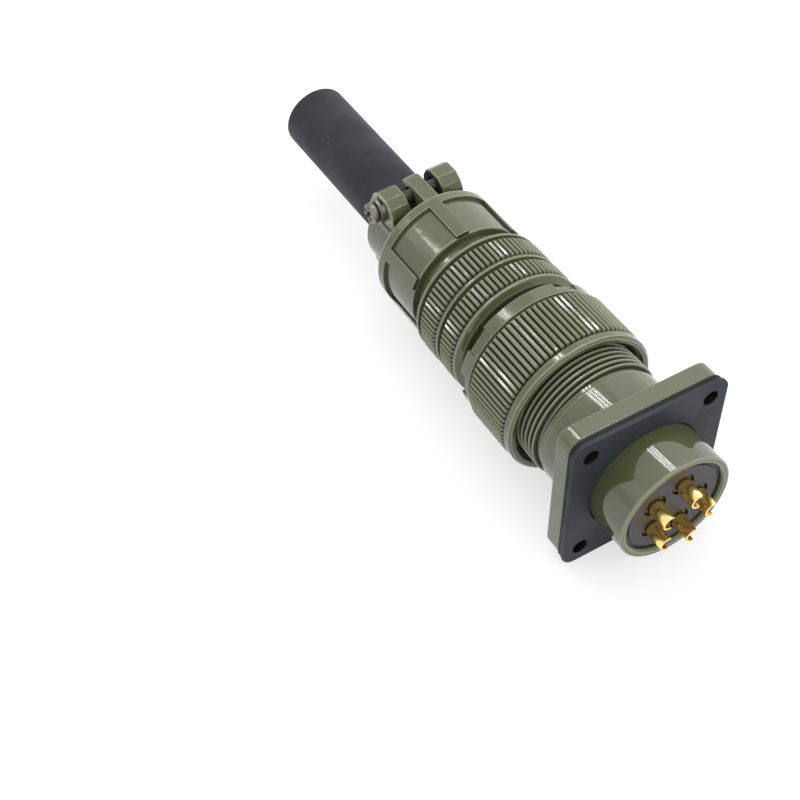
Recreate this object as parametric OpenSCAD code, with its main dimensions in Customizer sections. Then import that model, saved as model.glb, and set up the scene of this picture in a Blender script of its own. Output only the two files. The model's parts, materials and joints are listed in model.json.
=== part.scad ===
// Circular connector pair: a square-flange receptacle mated with a cable plug.
// The plug has a turning coupling nut, a knurled back shell, a two-saddle cable clamp and a rubber sleeve.
// The axis runs along X. The panel side of the gasket lies in x = 0 and the cable leaves toward +X.

/* [Receptacle] */
// Side length of the square flange
flange_w = 34.1; // [33:0.01:42]
// Thickness of the flange
flange_t = 4.1; // [3:0.1:6]
// Corner radius of the flange
flange_corner_r = 3; // [1:0.1:4]
// Distance between neighbouring flange holes
bolt_spacing = 26.97; // [26:0.01:30]
// Diameter of the flange holes
bolt_hole_d = 3.2; // [2.6:0.1:3.8]
// Thickness of the rubber gasket
gasket_t = 2; // [0.8:0.1:3]
// How far the gasket reaches past the flange on each side
gasket_over = 0.4; // [0:0.05:1]
// Outside diameter of the coupling thread
thread_d = 28.575; // [27:0.005:31]
// Distance from one thread ridge to the next
thread_pitch = 1.27; // [1.1:0.01:1.5]
// Depth of the thread
thread_depth = 0.8; // [0.5:0.05:1]
// Number of thread ridges
thread_turns = 6; // [5:1:7]
// Plain length between flange and thread
relief_len = 7.65; // [6:0.05:12]
// Length of the undercut between the plain barrel and the thread
undercut_len = 1.1; // [0.6:0.1:1.6]
// How far the plain barrel lies below the thread crests
relief_drop = 0.4; // [0.2:0.05:0.8]
// Wall between the thread root and the front bore
barrel_wall = 1.35; // [1:0.05:1.8]
// Outside diameter of the rear shell
rear_shell_d = 24.9; // [24:0.1:26]
// Length of the rear shell behind the gasket face
rear_shell_len = 9.6; // [8.5:0.1:14]
// Wall of the rear shell
rear_wall = 1.55; // [1.2:0.05:2]
// Depth of the rear insert face below the rim
insert_recess = 0.8; // [0.3:0.1:1.5]
// Length of the front insert in front of the inner web
front_insert_len = 6; // [5:0.1:8]

/* [Contacts] */
// Diameter of the circle the contacts stand on
contact_circle_d = 11; // [10.5:0.1:12]
// Turn of the contact layout about the axis
contact_turn = 34; // [0:1:72]
// Diameter of the mating pins
pin_d = 2.38; // [2:0.01:2.6]
// Length of the mating pins
pin_len = 8.5; // [7.5:0.1:9]
// Outside diameter of the solder cups
cup_d = 3.4; // [3.1:0.1:3.8]
// Diameter of the solder well
well_d = 2.5; // [2:0.1:2.6]
// Length of the solder cups outside the insert
cup_out = 4.7; // [4:0.1:6]
// Length of the cut-away mouth of a solder cup
scoop_len = 2.6; // [1.5:0.1:3]
// Direction the solder cups are cut open to
scoop_turn = -175; // [-180:5:180]

/* [Plug] */
// Distance between the plug nose and the receptacle insert in the half-mated state
plug_standoff = 6; // [5:0.1:8]
// Length of the plug nose in front of its collar
nose_len = 13.9; // [12.5:0.1:16]
// Length of the collar the coupling nut pulls on
collar_len = 3.3; // [2:0.1:4]
// Wall of the plug nose
nose_wall = 1.3; // [1:0.05:1.6]
// Length of the nose bore in front of its inner step
nose_step_len = 8; // [6.5:0.1:9.5]
// Length of the wide head of the front plug insert
insert_head_len = 2; // [1.5:0.1:3]
// Length of the rear plug insert
rear_insert_len = 9.5; // [8:0.1:11]
// Width of the polarising key
key_w = 3; // [2:0.1:4]
// Height of the polarising key
key_h = 0.9; // [0.6:0.05:1]

/* [Coupling nut] */
// Wall between the nut bore and the tips of the knurl
nut_wall = 2.35; // [2:0.05:3]
// Length of the nut in front of its inner web
nut_reach = 13.2; // [12:0.1:13.6]
// Thickness of the inner web of the nut
nut_web_t = 3; // [2:0.1:4]
// Length of the notched skirt behind the inner web
nut_skirt = 2.3; // [1.5:0.1:3]
// Plain band at the front of the nut
nut_front_band = 2.35; // [1.5:0.05:3]
// Plain band with lugs at the rear of the nut
nut_lug_band = 3.1; // [2:0.1:3.5]
// How far the notched rear band lies below the tooth tips
lug_drop = 0.6; // [0.1:0.05:0.8]
// Wall left under the notches
notch_wall = 0.9; // [0.7:0.05:1.2]
// Number of teeth around the nut
nut_teeth = 84; // [72:1:96]
// Depth of the knurl grooves
knurl_depth = 0.9; // [0.3:0.05:1.1]

/* [Back shell] */
// Gap between the nut and the back shell
bell_gap = 2.8; // [2:0.1:5]
// Bevelled rim at the front of the back shell
bell_rim = 1.9; // [1:0.1:2.5]
// Length of the knurled band next to the nut
band_front = 5.2; // [4:0.1:7]
// Plain groove between the two knurled bands
band_gap = 1.45; // [1:0.05:2]
// Length of the knurled band next to the clamp
band_rear = 6.15; // [4:0.05:7]
// Smooth rim at the rear of the back shell
bell_end = 1.3; // [1:0.1:2]
// Wall of the back shell over the plug thread
bell_wall = 2.85; // [2.4:0.05:3.4]
// Number of teeth around each knurled band
band_teeth = 80; // [66:1:90]
// Length of the plug spigot inside the back shell
bell_engage = 8.5; // [6:0.1:9]

/* [Cable clamp] */
// Gap between the back shell and the clamp
clamp_gap = 3.8; // [2:0.1:5]
// Length of the clamp body
clamp_len = 13.3; // [11:0.1:16]
// Outside diameter of the clamp body
clamp_d = 29.46; // [28.8:0.01:32]
// Wall of the clamp body over the neck of the back shell
clamp_wall = 2.28; // [2:0.02:3]
// Depth of the recessed panels
panel_depth = 0.8; // [0.4:0.05:1]
// Angle one recessed panel spans
panel_span = 48; // [40:1:52]
// Plain edge behind the panels
panel_end = 2.5; // [1.5:0.1:3.5]
// Thickness of the rear wall of the clamp body
clamp_back_t = 4.6; // [3:0.1:5.5]
// Turn of the clamp against the flange
clamp_turn = -3; // [-180:1:180]
// Turn of the panels against the ears
panel_turn = -3; // [-6:1:6]
// Width of the saddles along the axis
saddle_w = 9.2; // [8:0.1:11]
// Free space between the clamp's rim and the saddles
saddle_gap = 1.8; // [0.4:0.1:2.4]
// Length of the saddles from tip to tip
saddle_len = 28.4; // [28:0.1:31]
// Radius of the rounded saddle ends
saddle_end_r = 4.8; // [4.6:0.1:7]
// Thickness of the saddle ends
saddle_t = 4.9; // [4:0.1:5.4]
// Distance from a clamp screw to the nearest saddle tip
screw_edge = 3.3; // [2.8:0.05:3.6]
// Thickness of the ears between the saddles
ear_t = 3.6; // [2.5:0.1:4]
// How far the ears end below the saddle tips
ear_inset = 0.1; // [0:0.05:1]
// Free space between each saddle and the ear
ear_gap = 2.3; // [2.2:0.1:3]
// Thickness of the saddle over the cable sleeve
arch_t = 2.9; // [2.6:0.1:3.6]
// Half length of the raised middle of a saddle
arch_half = 7; // [6.5:0.1:7.5]
// Diameter of the clamp screws
screw_d = 2.9; // [2.5:0.1:3.2]
// Diameter of the screw heads
screw_head_d = 4.8; // [4.4:0.1:5.6]
// Height of the screw heads
screw_head_h = 1.5; // [1.2:0.1:2.6]
// Diameter of the lock washers
washer_d = 5.6; // [5:0.1:6]
// Thickness of the lock washers, coils apart
washer_t = 1.8; // [1:0.05:2.2]

/* [Sleeve] */
// Outside diameter of the rubber sleeve
sleeve_d = 15.5; // [14.5:0.1:16]
// Wall of the rubber sleeve
sleeve_wall = 0.95; // [0.7:0.05:1.5]
// Length of the sleeve behind the clamp body
sleeve_out = 54.4; // [40:0.1:70]
// Thickness of the collar that holds the sleeve in the clamp
sleeve_collar_t = 1.5; // [1:0.1:2]

/* [Fits] */
// Free space between turning or sliding pieces
slide_gap = 0.35; // [0.3:0.01:0.5]
// Radial play of a mating pin in its socket
pin_play = 0.06; // [0.02:0.01:0.09]
// Play of the coupling nut along the axis
nut_play = 0.3; // [0.2:0.05:0.5]
// Play of pieces that stay together
seat_gap = 0.05; // [0.02:0.01:0.1]

/* [Hidden] */
$fn = 96;
over = 1;
thread_r = thread_d / 2;
root_r = thread_r - thread_depth;
relief_r = thread_r - relief_drop;
front_bore_r = root_r - barrel_wall;
rear_shell_r = rear_shell_d / 2;
rear_bore_r = rear_shell_r - rear_wall;
rim_round = 0.6;
web_r = rear_bore_r - 1.1;
ring_t = 0.8;
ring_bite = 0.45;
flange_z0 = gasket_t;
flange_z1 = gasket_t + flange_t;
relief_z1 = flange_z1 + relief_len;
thread_z0 = relief_z1 + undercut_len;
front_z = thread_z0 + (thread_turns + 0.8) * thread_pitch;
rear_z = -rear_shell_len;
web_z0 = flange_z0;
web_z1 = web_z0 + 2;
pin_face_z = web_z1 + front_insert_len;
rear_face_z = rear_z + insert_recess;
rear_ring_z0 = rear_face_z + 0.2;
rear_ring_z1 = rear_ring_z0 + ring_t;

contact_r = contact_circle_d / 2;
pin_r = pin_d / 2;
cup_r = cup_d / 2;
well_r = well_d / 2;
scoop_floor = 0.3 * cup_r;
contact_hole_r = cup_r + seat_gap;
cup_clear = 0.7;
cup_collar_r = contact_hole_r + cup_clear - 0.25;
cup_collar_sunk = 0.5;
cup_seat = 1.4;
shoulder_r = cup_r + 0.5;
shoulder_t = 2;
pin_tip_z = pin_face_z + pin_len;
contacts = 5;

nose_z = pin_face_z + plug_standoff;
nose_r = front_bore_r - slide_gap;
nose_bore_r = nose_r - nose_wall;
collar_z0 = nose_z + nose_len;
collar_z1 = collar_z0 + collar_len;
nut_bore_r = thread_r + slide_gap;
collar_r = nut_bore_r - slide_gap - 0.1;
spigot_r = nose_r + 0.85;
nut_web_r = spigot_r + slide_gap;
nut_web_z0 = collar_z1 + nut_play;
nut_web_z1 = nut_web_z0 + nut_web_t;
nut_ring_z0 = nut_web_z1 + nut_play;
nut_ring_z1 = nut_ring_z0 + ring_t;
nut_ring_r = spigot_r + 1.45;
nut_z0 = nut_web_z0 - nut_reach;
nut_z1 = nut_web_z1 + nut_skirt;
nut_r = nut_bore_r + nut_wall;
nut_root_r = nut_r - knurl_depth;
ring_groove = 0.4;
nut_knurl_z0 = nut_z0 + nut_front_band;
nut_lug_z0 = nut_z1 - nut_lug_band;
nut_knurl_z1 = nut_lug_z0 - ring_groove;
skirt_bore_r = nut_ring_r + slide_gap;
land_r = nut_r - 0.1;
lug_r = nut_r - lug_drop;
lug_groups = 3;
notch_floor_r = skirt_bore_r + notch_wall;
notch_w = 5.4;
notch_turn = 20;
lug_turn = 76.5;

plug_step_z = nose_z + nose_step_len;
plug_insert_z0 = nose_z + 0.4;
plug_split_z = plug_step_z + insert_head_len;
plug_rear_z = plug_split_z + rear_insert_len;
plug_wide_r = nose_bore_r + 0.4;
socket_z0 = plug_insert_z0 + 0.6;
socket_depth = pin_len + 1;
plug_ring_z1 = plug_rear_z + ring_t;

bell_z0 = nut_z1 + bell_gap;
bell_thread_r = spigot_r + seat_gap;
bell_r = bell_thread_r + bell_wall;
bell_root_r = bell_r - knurl_depth;
band_a0 = bell_z0 + bell_rim;
band_a1 = band_a0 + band_front;
band_b0 = band_a1 + band_gap;
band_b1 = band_b0 + band_rear;
bell_z1 = band_b1 + bell_end;
barrel_z1 = bell_z0 + bell_engage;
cavity_r = spigot_r - 2;

clamp_r = clamp_d / 2;
clamp_bore_r = clamp_r - clamp_wall;
neck_r = clamp_bore_r - seat_gap;
neck_bore_r = neck_r - 3;
clamp_z0 = bell_z1 + clamp_gap;
clamp_z1 = clamp_z0 + clamp_len;
clamp_wall_z = clamp_z1 - clamp_back_t;
neck_z1 = clamp_wall_z - sleeve_collar_t;
panels = 6;
panel_z1 = clamp_z1 - panel_end;
sleeve_r = sleeve_d / 2;
sleeve_bore_r = sleeve_r - sleeve_wall;
sleeve_hole_r = sleeve_r + seat_gap;
sleeve_z1 = clamp_z1 + sleeve_out;
saddle_z = clamp_z1 + saddle_gap + saddle_w / 2;
saddle_tip = saddle_len / 2;
ear_h = saddle_tip - ear_inset;
saddle_v0 = ear_t / 2 + ear_gap;
saddle_v1 = saddle_v0 + saddle_t;
saddle_bore_r = sleeve_r + slide_gap;
arch_r = saddle_bore_r + arch_t;
screw_u = saddle_tip - screw_edge;
screw_r = screw_d / 2;
screw_hole_r = screw_r + slide_gap;
washer_v = saddle_v1 + washer_t;
screw_tip_v = -saddle_v1 - 0.6;

// Turns a piece drawn along Z so that it lies along X, with X to Y and Y to Z.
module lengthways() {
    rotate([90, 0, 90])
        children();
}

// Puts a piece at one place of the contact layout, its own X pointing the way the cups open.
module contact_place(i) {
    turn = contact_turn + 360 / contacts * i;
    translate([contact_r * cos(turn), contact_r * sin(turn), 0])
        rotate(scoop_turn)
            children();
}

// A plain tube between two heights.
module tube(z0, z1, r_out, r_in) {
    translate([0, 0, z0])
        difference() {
            cylinder(h = z1 - z0, r = r_out);
            translate([0, 0, -over])
                cylinder(h = z1 - z0 + 2 * over, r = r_in);
        }
}

// A round rod between two heights.
module rod(z0, z1, r) {
    translate([0, 0, z0])
        cylinder(h = z1 - z0, r = r);
}

// A square plate with rounded corners and four holes.
module square_plate(z0, t, w) {
    straight = w - 2 * flange_corner_r;
    translate([0, 0, z0])
        difference() {
            union() {
                translate([-straight / 2, -w / 2, 0])
                    cube([straight, w, t]);
                translate([-w / 2, -straight / 2, 0])
                    cube([w, straight, t]);
                for (sx = [-1, 1], sy = [-1, 1])
                    translate([sx * straight / 2, sy * straight / 2, 0])
                        cylinder(h = t, r = flange_corner_r);
            }
            for (sx = [-1, 1], sy = [-1, 1])
                translate([sx * bolt_spacing / 2, sy * bolt_spacing / 2, -over])
                    cylinder(h = t + 2 * over, d = bolt_hole_d);
        }
}

// Outline of a straight knurl with flat-topped teeth.
function knurl_points(teeth, r_tip, r_root) = [
    for (i = [0:teeth - 1], c = [[0.13, r_root], [0.28, r_tip], [0.72, r_tip], [0.87, r_root]])
        [c[1] * cos(360 * (i + c[0]) / teeth), c[1] * sin(360 * (i + c[0]) / teeth)]
];

module knurl(z0, z1, teeth, r_tip, r_root) {
    translate([0, 0, z0])
        linear_extrude(z1 - z0)
            polygon(knurl_points(teeth, r_tip, r_root));
}

// Ridges of the coupling thread, one after the other along the barrel.
function ridge_points() = [
    for (i = [0:thread_turns - 1], c = [[0.08, root_r], [0.38, thread_r], [0.62, thread_r], [0.92, root_r]])
        [c[1], thread_z0 + thread_pitch * (i + c[0])]
];

module receptacle_shell_solid() {
    difference() {
        union() {
            rotate_extrude()
                polygon(concat(
                    [
                        [0, rear_z],
                        [rear_shell_r - rim_round, rear_z],
                        [rear_shell_r, rear_z + rim_round],
                        [rear_shell_r, flange_z0 + flange_t / 2],
                        [relief_r, flange_z0 + flange_t / 2],
                        [relief_r, relief_z1 - 0.2],
                        [relief_r - 0.2, relief_z1],
                        [root_r, relief_z1]
                    ],
                    ridge_points(),
                    [
                        [root_r, front_z - 0.4],
                        [root_r - 0.4, front_z],
                        [0, front_z]
                    ]
                ));
            square_plate(flange_z0, flange_t, flange_w);
        }
        rod(rear_z - over, web_z0, rear_bore_r);
        rod(web_z0 - over, web_z1 + over, web_r);
        rod(web_z1, front_z + over, front_bore_r);
        rod(rear_ring_z0 - seat_gap, rear_ring_z1 + seat_gap, rear_bore_r + ring_bite + seat_gap);
    }
    receptacle_key();
}

// The key inside the front bore that keeps plug and receptacle from turning.
module receptacle_key() {
    intersection() {
        tube(web_z1 - 0.3, front_z - 1.5, front_bore_r + 0.3, front_bore_r - key_h);
        translate([-key_w / 2, 0, web_z1 - 0.3])
            cube([key_w, thread_d, front_z]);
    }
}

module key_slot(z0, z1) {
    w = key_w + 2 * slide_gap;
    translate([-w / 2, front_bore_r - key_h - slide_gap, z0])
        cube([w, thread_d, z1 - z0]);
}

module gasket_solid() {
    difference() {
        square_plate(0, gasket_t, flange_w + 2 * gasket_over);
        rod(-over, gasket_t + over, rear_shell_r + seat_gap);
    }
}

module insert_front_solid() {
    difference() {
        union() {
            rod(web_z0, web_z1 + over, web_r - seat_gap);
            rod(web_z1, pin_face_z, front_bore_r - seat_gap);
        }
        key_slot(web_z1 - over, pin_face_z + over);
        for (i = [0:contacts - 1])
            contact_place(i) {
                rod(web_z0 - over, pin_face_z + over, contact_hole_r);
                rod(web_z0 - over, web_z0 + shoulder_t, shoulder_r + seat_gap);
            }
    }
}

module insert_rear_solid() {
    difference() {
        union() {
            rod(rear_face_z, rear_ring_z1 + over, rear_bore_r - ring_t);
            rod(rear_ring_z1, web_z0, rear_bore_r - seat_gap);
        }
        for (i = [0:contacts - 1])
            contact_place(i) {
                rod(rear_face_z - over, web_z0 + over, contact_hole_r);
                rod(rear_face_z - over, rear_face_z + cup_seat, contact_hole_r + cup_clear);
            }
    }
}

module receptacle_ring_solid() {
    tube(rear_ring_z0, rear_ring_z1, rear_bore_r + ring_bite, rear_bore_r - ring_t + seat_gap);
}

// Cuts the well and the slanted mouth of a solder cup that points along +Z.
module cup_cut(tip, depth) {
    rod(tip - depth, tip + over, well_r);
    translate([scoop_floor, -cup_d, tip - scoop_len])
        cube([cup_d, 2 * cup_d, scoop_len + over]);
    translate([scoop_floor + cup_r, cup_d, tip - scoop_len])
        rotate([90, 0, 0])
            cylinder(h = 2 * cup_d, r = cup_r);
}

module pin_solid() {
    difference() {
        rotate_extrude()
            polygon([
                [0, rear_face_z - cup_out],
                [cup_r, rear_face_z - cup_out],
                [cup_r, rear_face_z + cup_collar_sunk],
                [cup_collar_r, rear_face_z + cup_collar_sunk],
                [cup_collar_r, rear_face_z + cup_seat - seat_gap],
                [cup_r, rear_face_z + cup_seat - seat_gap],
                [cup_r, web_z0],
                [shoulder_r, web_z0],
                [shoulder_r, web_z0 + shoulder_t],
                [cup_r, web_z0 + shoulder_t],
                [cup_r, pin_face_z],
                [pin_r, pin_face_z],
                [pin_r, pin_tip_z - 0.8],
                [pin_r - 0.5, pin_tip_z],
                [0, pin_tip_z]
            ]);
        mirror([0, 0, 1])
            cup_cut(cup_out - rear_face_z, cup_out + 1);
    }
}

module socket_solid() {
    tip = plug_rear_z + cup_out;
    difference() {
        rotate_extrude()
            polygon([
                [pin_r + pin_play, socket_z0],
                [cup_r - 0.2, socket_z0],
                [cup_r, socket_z0 + 0.4],
                [cup_r, plug_split_z],
                [shoulder_r, plug_split_z],
                [shoulder_r, plug_split_z + shoulder_t],
                [cup_r, plug_split_z + shoulder_t],
                [cup_r, tip],
                [0, tip],
                [0, socket_z0 + socket_depth],
                [pin_r + pin_play, socket_z0 + socket_depth]
            ]);
        cup_cut(tip, cup_out + 1);
    }
}

module plug_barrel_solid() {
    difference() {
        rotate_extrude()
            polygon([
                [nose_bore_r, nose_z],
                [nose_r - 0.4, nose_z],
                [nose_r, nose_z + 0.6],
                [nose_r, collar_z0],
                [collar_r, collar_z0],
                [collar_r, collar_z1],
                [spigot_r, collar_z1],
                [spigot_r, nut_ring_z0 - seat_gap],
                [spigot_r - ring_bite, nut_ring_z0 - seat_gap],
                [spigot_r - ring_bite, nut_ring_z1 + seat_gap],
                [spigot_r, nut_ring_z1 + seat_gap],
                [spigot_r, barrel_z1],
                [plug_wide_r, barrel_z1],
                [plug_wide_r, plug_ring_z1 + seat_gap],
                [plug_wide_r + ring_bite + seat_gap, plug_ring_z1 + seat_gap],
                [plug_wide_r + ring_bite + seat_gap, plug_rear_z - seat_gap],
                [plug_wide_r, plug_rear_z - seat_gap],
                [plug_wide_r, plug_step_z],
                [nose_bore_r, plug_step_z]
            ]);
        key_slot(nose_z - over, collar_z0 - 0.6);
    }
}

module plug_insert_front_solid() {
    difference() {
        union() {
            rod(plug_insert_z0, plug_step_z + over, nose_bore_r - seat_gap);
            rod(plug_step_z, plug_split_z, plug_wide_r - seat_gap);
        }
        for (i = [0:contacts - 1])
            contact_place(i) {
                rod(plug_insert_z0 - over, plug_split_z, pin_r + slide_gap);
                rod(socket_z0, plug_split_z + over, contact_hole_r);
            }
    }
}

module plug_insert_rear_solid() {
    difference() {
        rod(plug_split_z, plug_rear_z, plug_wide_r - seat_gap);
        for (i = [0:contacts - 1])
            contact_place(i) {
                rod(plug_split_z - over, plug_rear_z + over, contact_hole_r);
                rod(plug_split_z - over, plug_split_z + shoulder_t, shoulder_r + seat_gap);
            }
    }
}

module plug_ring_solid() {
    tube(plug_rear_z, plug_ring_z1, plug_wide_r + ring_bite, plug_wide_r - ring_t);
}

module nut_ring_solid() {
    tube(nut_ring_z0, nut_ring_z1, nut_ring_r, spigot_r - ring_bite + seat_gap);
}

// One spanner notch in the rear skirt of the nut.
module nut_notch(turn) {
    rotate(turn)
        translate([notch_floor_r, -notch_w / 2, nut_lug_z0 + 0.5])
            cube([lug_r, notch_w, nut_lug_band]);
}

module coupling_nut_solid() {
    difference() {
        union() {
            rotate_extrude()
                polygon([
                    [0, nut_z0],
                    [land_r - 0.55, nut_z0],
                    [land_r, nut_z0 + 0.55],
                    [land_r, nut_knurl_z0 - ring_groove],
                    [nut_root_r - 0.1, nut_knurl_z0 - 0.2],
                    [nut_root_r - 0.1, nut_lug_z0 - 0.2],
                    [lug_r, nut_lug_z0],
                    [lug_r, nut_z1 - 0.3],
                    [lug_r - 0.3, nut_z1],
                    [0, nut_z1]
                ]);
            knurl(nut_knurl_z0, nut_knurl_z1, nut_teeth, nut_r, nut_root_r);
        }
        rotate_extrude()
            polygon([
                [0, nut_z0 - over],
                [nut_bore_r + 0.9, nut_z0 - over],
                [nut_bore_r + 0.9, nut_z0],
                [nut_bore_r, nut_z0 + 0.9],
                [nut_bore_r, nut_web_z0],
                [nut_web_r, nut_web_z0],
                [nut_web_r, nut_web_z1],
                [skirt_bore_r, nut_web_z1],
                [skirt_bore_r + 0.3, nut_z1],
                [skirt_bore_r + 0.3, nut_z1 + over],
                [0, nut_z1 + over]
            ]);
        for (i = [0:lug_groups - 1], s = [-1, 1])
            nut_notch(lug_turn + 180 / lug_groups + 360 / lug_groups * i + s * notch_turn);
    }
}

module back_shell_solid() {
    difference() {
        union() {
            rotate_extrude()
                polygon([
                    [0, bell_z0],
                    [bell_r - 1.5, bell_z0],
                    [bell_r - 0.1, band_a0 - 0.9],
                    [bell_r - 0.1, band_a0 - ring_groove],
                    [bell_root_r - 0.1, band_a0 - 0.2],
                    [bell_root_r - 0.1, band_a1 + 0.2],
                    [bell_r - 0.1, band_a1 + ring_groove],
                    [bell_r - 0.1, band_b0 - ring_groove],
                    [bell_root_r - 0.1, band_b0 - 0.2],
                    [bell_root_r - 0.1, band_b1 + 0.2],
                    [bell_r - 0.1, band_b1 + ring_groove],
                    [bell_r - 0.1, bell_z1 - 0.4],
                    [bell_r - 0.6, bell_z1],
                    [neck_r, bell_z1 + 1],
                    [neck_r, neck_z1],
                    [0, neck_z1]
                ]);
            knurl(band_a0, band_a1, band_teeth, bell_r, bell_root_r);
            knurl(band_b0, band_b1, band_teeth, bell_r, bell_root_r);
        }
        rotate_extrude()
            polygon([
                [0, bell_z0 - over],
                [bell_thread_r, bell_z0 - over],
                [bell_thread_r, barrel_z1],
                [cavity_r, barrel_z1],
                [neck_bore_r, bell_z1],
                [neck_bore_r, neck_z1 + over],
                [0, neck_z1 + over]
            ]);
    }
}

// A recessed panel in the side of the clamp body, open to the front.
module clamp_panel(turn) {
    reach = 2 * clamp_r;
    half = panel_span / 2;
    rotate(turn)
        intersection() {
            tube(clamp_z0 - over, panel_z1, clamp_r + over, clamp_r - panel_depth);
            translate([0, 0, clamp_z0 - 2 * over])
                linear_extrude(clamp_len)
                    polygon([
                        [0, 0],
                        [reach * cos(half), -reach * sin(half)],
                        [reach * cos(half), reach * sin(half)]
                    ]);
        }
}

// Draws a flat outline given along the axis and along the ears, and gives it thickness across.
module across(v0, v1) {
    rotate([0, 90, 0])
        mirror([1, 0, 0])
            translate([0, 0, v0])
                linear_extrude(v1 - v0)
                    children();
}

module saddle_outline() {
    centre = saddle_tip - saddle_end_r;
    intersection() {
        translate([saddle_z - saddle_w / 2, -saddle_tip])
            square([saddle_w, saddle_len]);
        union() {
            translate([saddle_z - saddle_end_r, -centre])
                square([2 * saddle_end_r, 2 * centre]);
            for (s = [-1, 1])
                translate([saddle_z, s * centre])
                    circle(r = saddle_end_r);
        }
    }
}

module ear_solid() {
    depth = ear_h - sleeve_r + over;
    across(-ear_t / 2, ear_t / 2)
        translate([clamp_z1 - over, ear_h - depth])
            square([over + saddle_gap + 0.9 * saddle_w, depth]);
}

module clamp_body_solid() {
    difference() {
        union() {
            rotate_extrude()
                polygon([
                    [0, clamp_z0],
                    [clamp_r, clamp_z0],
                    [clamp_r, clamp_z1 - 0.5],
                    [clamp_r - 0.5, clamp_z1],
                    [0, clamp_z1]
                ]);
            for (t = [0, 180])
                rotate(t)
                    ear_solid();
        }
        rod(clamp_z0 - over, clamp_wall_z, clamp_bore_r);
        rod(clamp_z0 - over, saddle_z + saddle_w, sleeve_hole_r);
        for (i = [0:panels - 1])
            clamp_panel(panel_turn + 60 + 360 / panels * i);
        for (t = [0, 180])
            rotate(t)
                screw_hole(screw_u);
    }
}

module screw_hole(u) {
    translate([0, u, saddle_z])
        rotate([0, 90, 0])
            cylinder(h = 4 * saddle_v1, r = screw_hole_r, center = true);
}

module saddle_solid() {
    difference() {
        intersection() {
            across(0, arch_r + over)
                saddle_outline();
            translate([0, 0, saddle_z - saddle_w])
                linear_extrude(2 * saddle_w)
                    union() {
                        translate([saddle_v0, -saddle_len])
                            square([saddle_t, 2 * saddle_len]);
                        intersection() {
                            translate([saddle_v0, -arch_half])
                                square([arch_r, 2 * arch_half]);
                            circle(r = arch_r);
                        }
                    }
        }
        rod(saddle_z - saddle_w, saddle_z + saddle_w, saddle_bore_r);
        screw_hole(screw_u);
        screw_hole(-screw_u);
    }
}

module washer_solid() {
    translate([0, screw_u, saddle_z])
        rotate([0, 90, 0])
            tube(saddle_v1, washer_v, washer_d / 2, screw_r + seat_gap);
}

module screw_solid() {
    head_r = screw_head_d / 2;
    translate([0, screw_u, saddle_z])
        rotate([0, 90, 0])
            difference() {
                rotate_extrude()
                    polygon([
                        [0, screw_tip_v],
                        [screw_r - 0.4, screw_tip_v],
                        [screw_r, screw_tip_v + 0.5],
                        [screw_r, washer_v],
                        [head_r, washer_v],
                        [head_r, washer_v + 0.5 * screw_head_h],
                        [0.9 * head_r, washer_v + 0.8 * screw_head_h],
                        [0.66 * head_r, washer_v + screw_head_h],
                        [0, washer_v + screw_head_h]
                    ]);
                for (t = [45, 135])
                    rotate(t)
                        translate([-0.62 * head_r, -0.15 * head_r, washer_v + 0.4 * screw_head_h])
                            cube([1.24 * head_r, 0.3 * head_r, screw_head_h]);
            }
}

module sleeve_solid() {
    difference() {
        rotate_extrude()
            polygon([
                [sleeve_bore_r, neck_z1],
                [clamp_bore_r - seat_gap, neck_z1],
                [clamp_bore_r - seat_gap, clamp_wall_z],
                [sleeve_r, clamp_wall_z],
                [sleeve_r, sleeve_z1 - 0.2],
                [sleeve_r - 0.2, sleeve_z1],
                [sleeve_bore_r + 0.1, sleeve_z1],
                [sleeve_bore_r, sleeve_z1 - 0.1]
            ]);
    }
}

// The clamp frame: ears along its Y, screws along its X.
module clamp_frame(half_turn) {
    lengthways()
        rotate(clamp_turn + half_turn)
            children();
}

module receptacle_shell() {
    color([0.40, 0.41, 0.29])
        lengthways()
            receptacle_shell_solid();
}

module flange_gasket() {
    color([0.12, 0.12, 0.13])
        lengthways()
            gasket_solid();
}

module receptacle_insert_front() {
    color([0.16, 0.16, 0.17])
        lengthways()
            insert_front_solid();
}

module receptacle_insert_rear() {
    color([0.20, 0.20, 0.21])
        lengthways()
            insert_rear_solid();
}

module receptacle_ring() {
    color([0.15, 0.15, 0.15])
        lengthways()
            receptacle_ring_solid();
}

module contact_pin(i) {
    color([0.83, 0.65, 0.30])
        lengthways()
            contact_place(i)
                pin_solid();
}

module contact_socket(i) {
    color([0.83, 0.65, 0.30])
        lengthways()
            contact_place(i)
                socket_solid();
}

module plug_barrel() {
    color([0.33, 0.34, 0.23])
        lengthways()
            plug_barrel_solid();
}

module plug_insert_front() {
    color([0.16, 0.16, 0.17])
        lengthways()
            plug_insert_front_solid();
}

module plug_insert_rear() {
    color([0.20, 0.20, 0.21])
        lengthways()
            plug_insert_rear_solid();
}

module plug_ring() {
    color([0.15, 0.15, 0.15])
        lengthways()
            plug_ring_solid();
}

module nut_ring() {
    color([0.25, 0.25, 0.22])
        lengthways()
            nut_ring_solid();
}

module back_shell() {
    color([0.42, 0.43, 0.31])
        lengthways()
            back_shell_solid();
}

module clamp_body() {
    color([0.40, 0.41, 0.30])
        clamp_frame(0)
            clamp_body_solid();
}

module cable_sleeve() {
    color([0.22, 0.22, 0.25])
        lengthways()
            sleeve_solid();
}

module coupling_nut() {
    color([0.42, 0.43, 0.31])
        lengthways()
            coupling_nut_solid();
}

module saddle_a() {
    color([0.45, 0.46, 0.36])
        clamp_frame(0)
            saddle_solid();
}

module screw_a() {
    color([0.62, 0.62, 0.58])
        clamp_frame(0)
            screw_solid();
}

module washer_a() {
    color([0.55, 0.55, 0.52])
        clamp_frame(0)
            washer_solid();
}

module saddle_b() {
    color([0.45, 0.46, 0.36])
        clamp_frame(180)
            saddle_solid();
}

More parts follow.
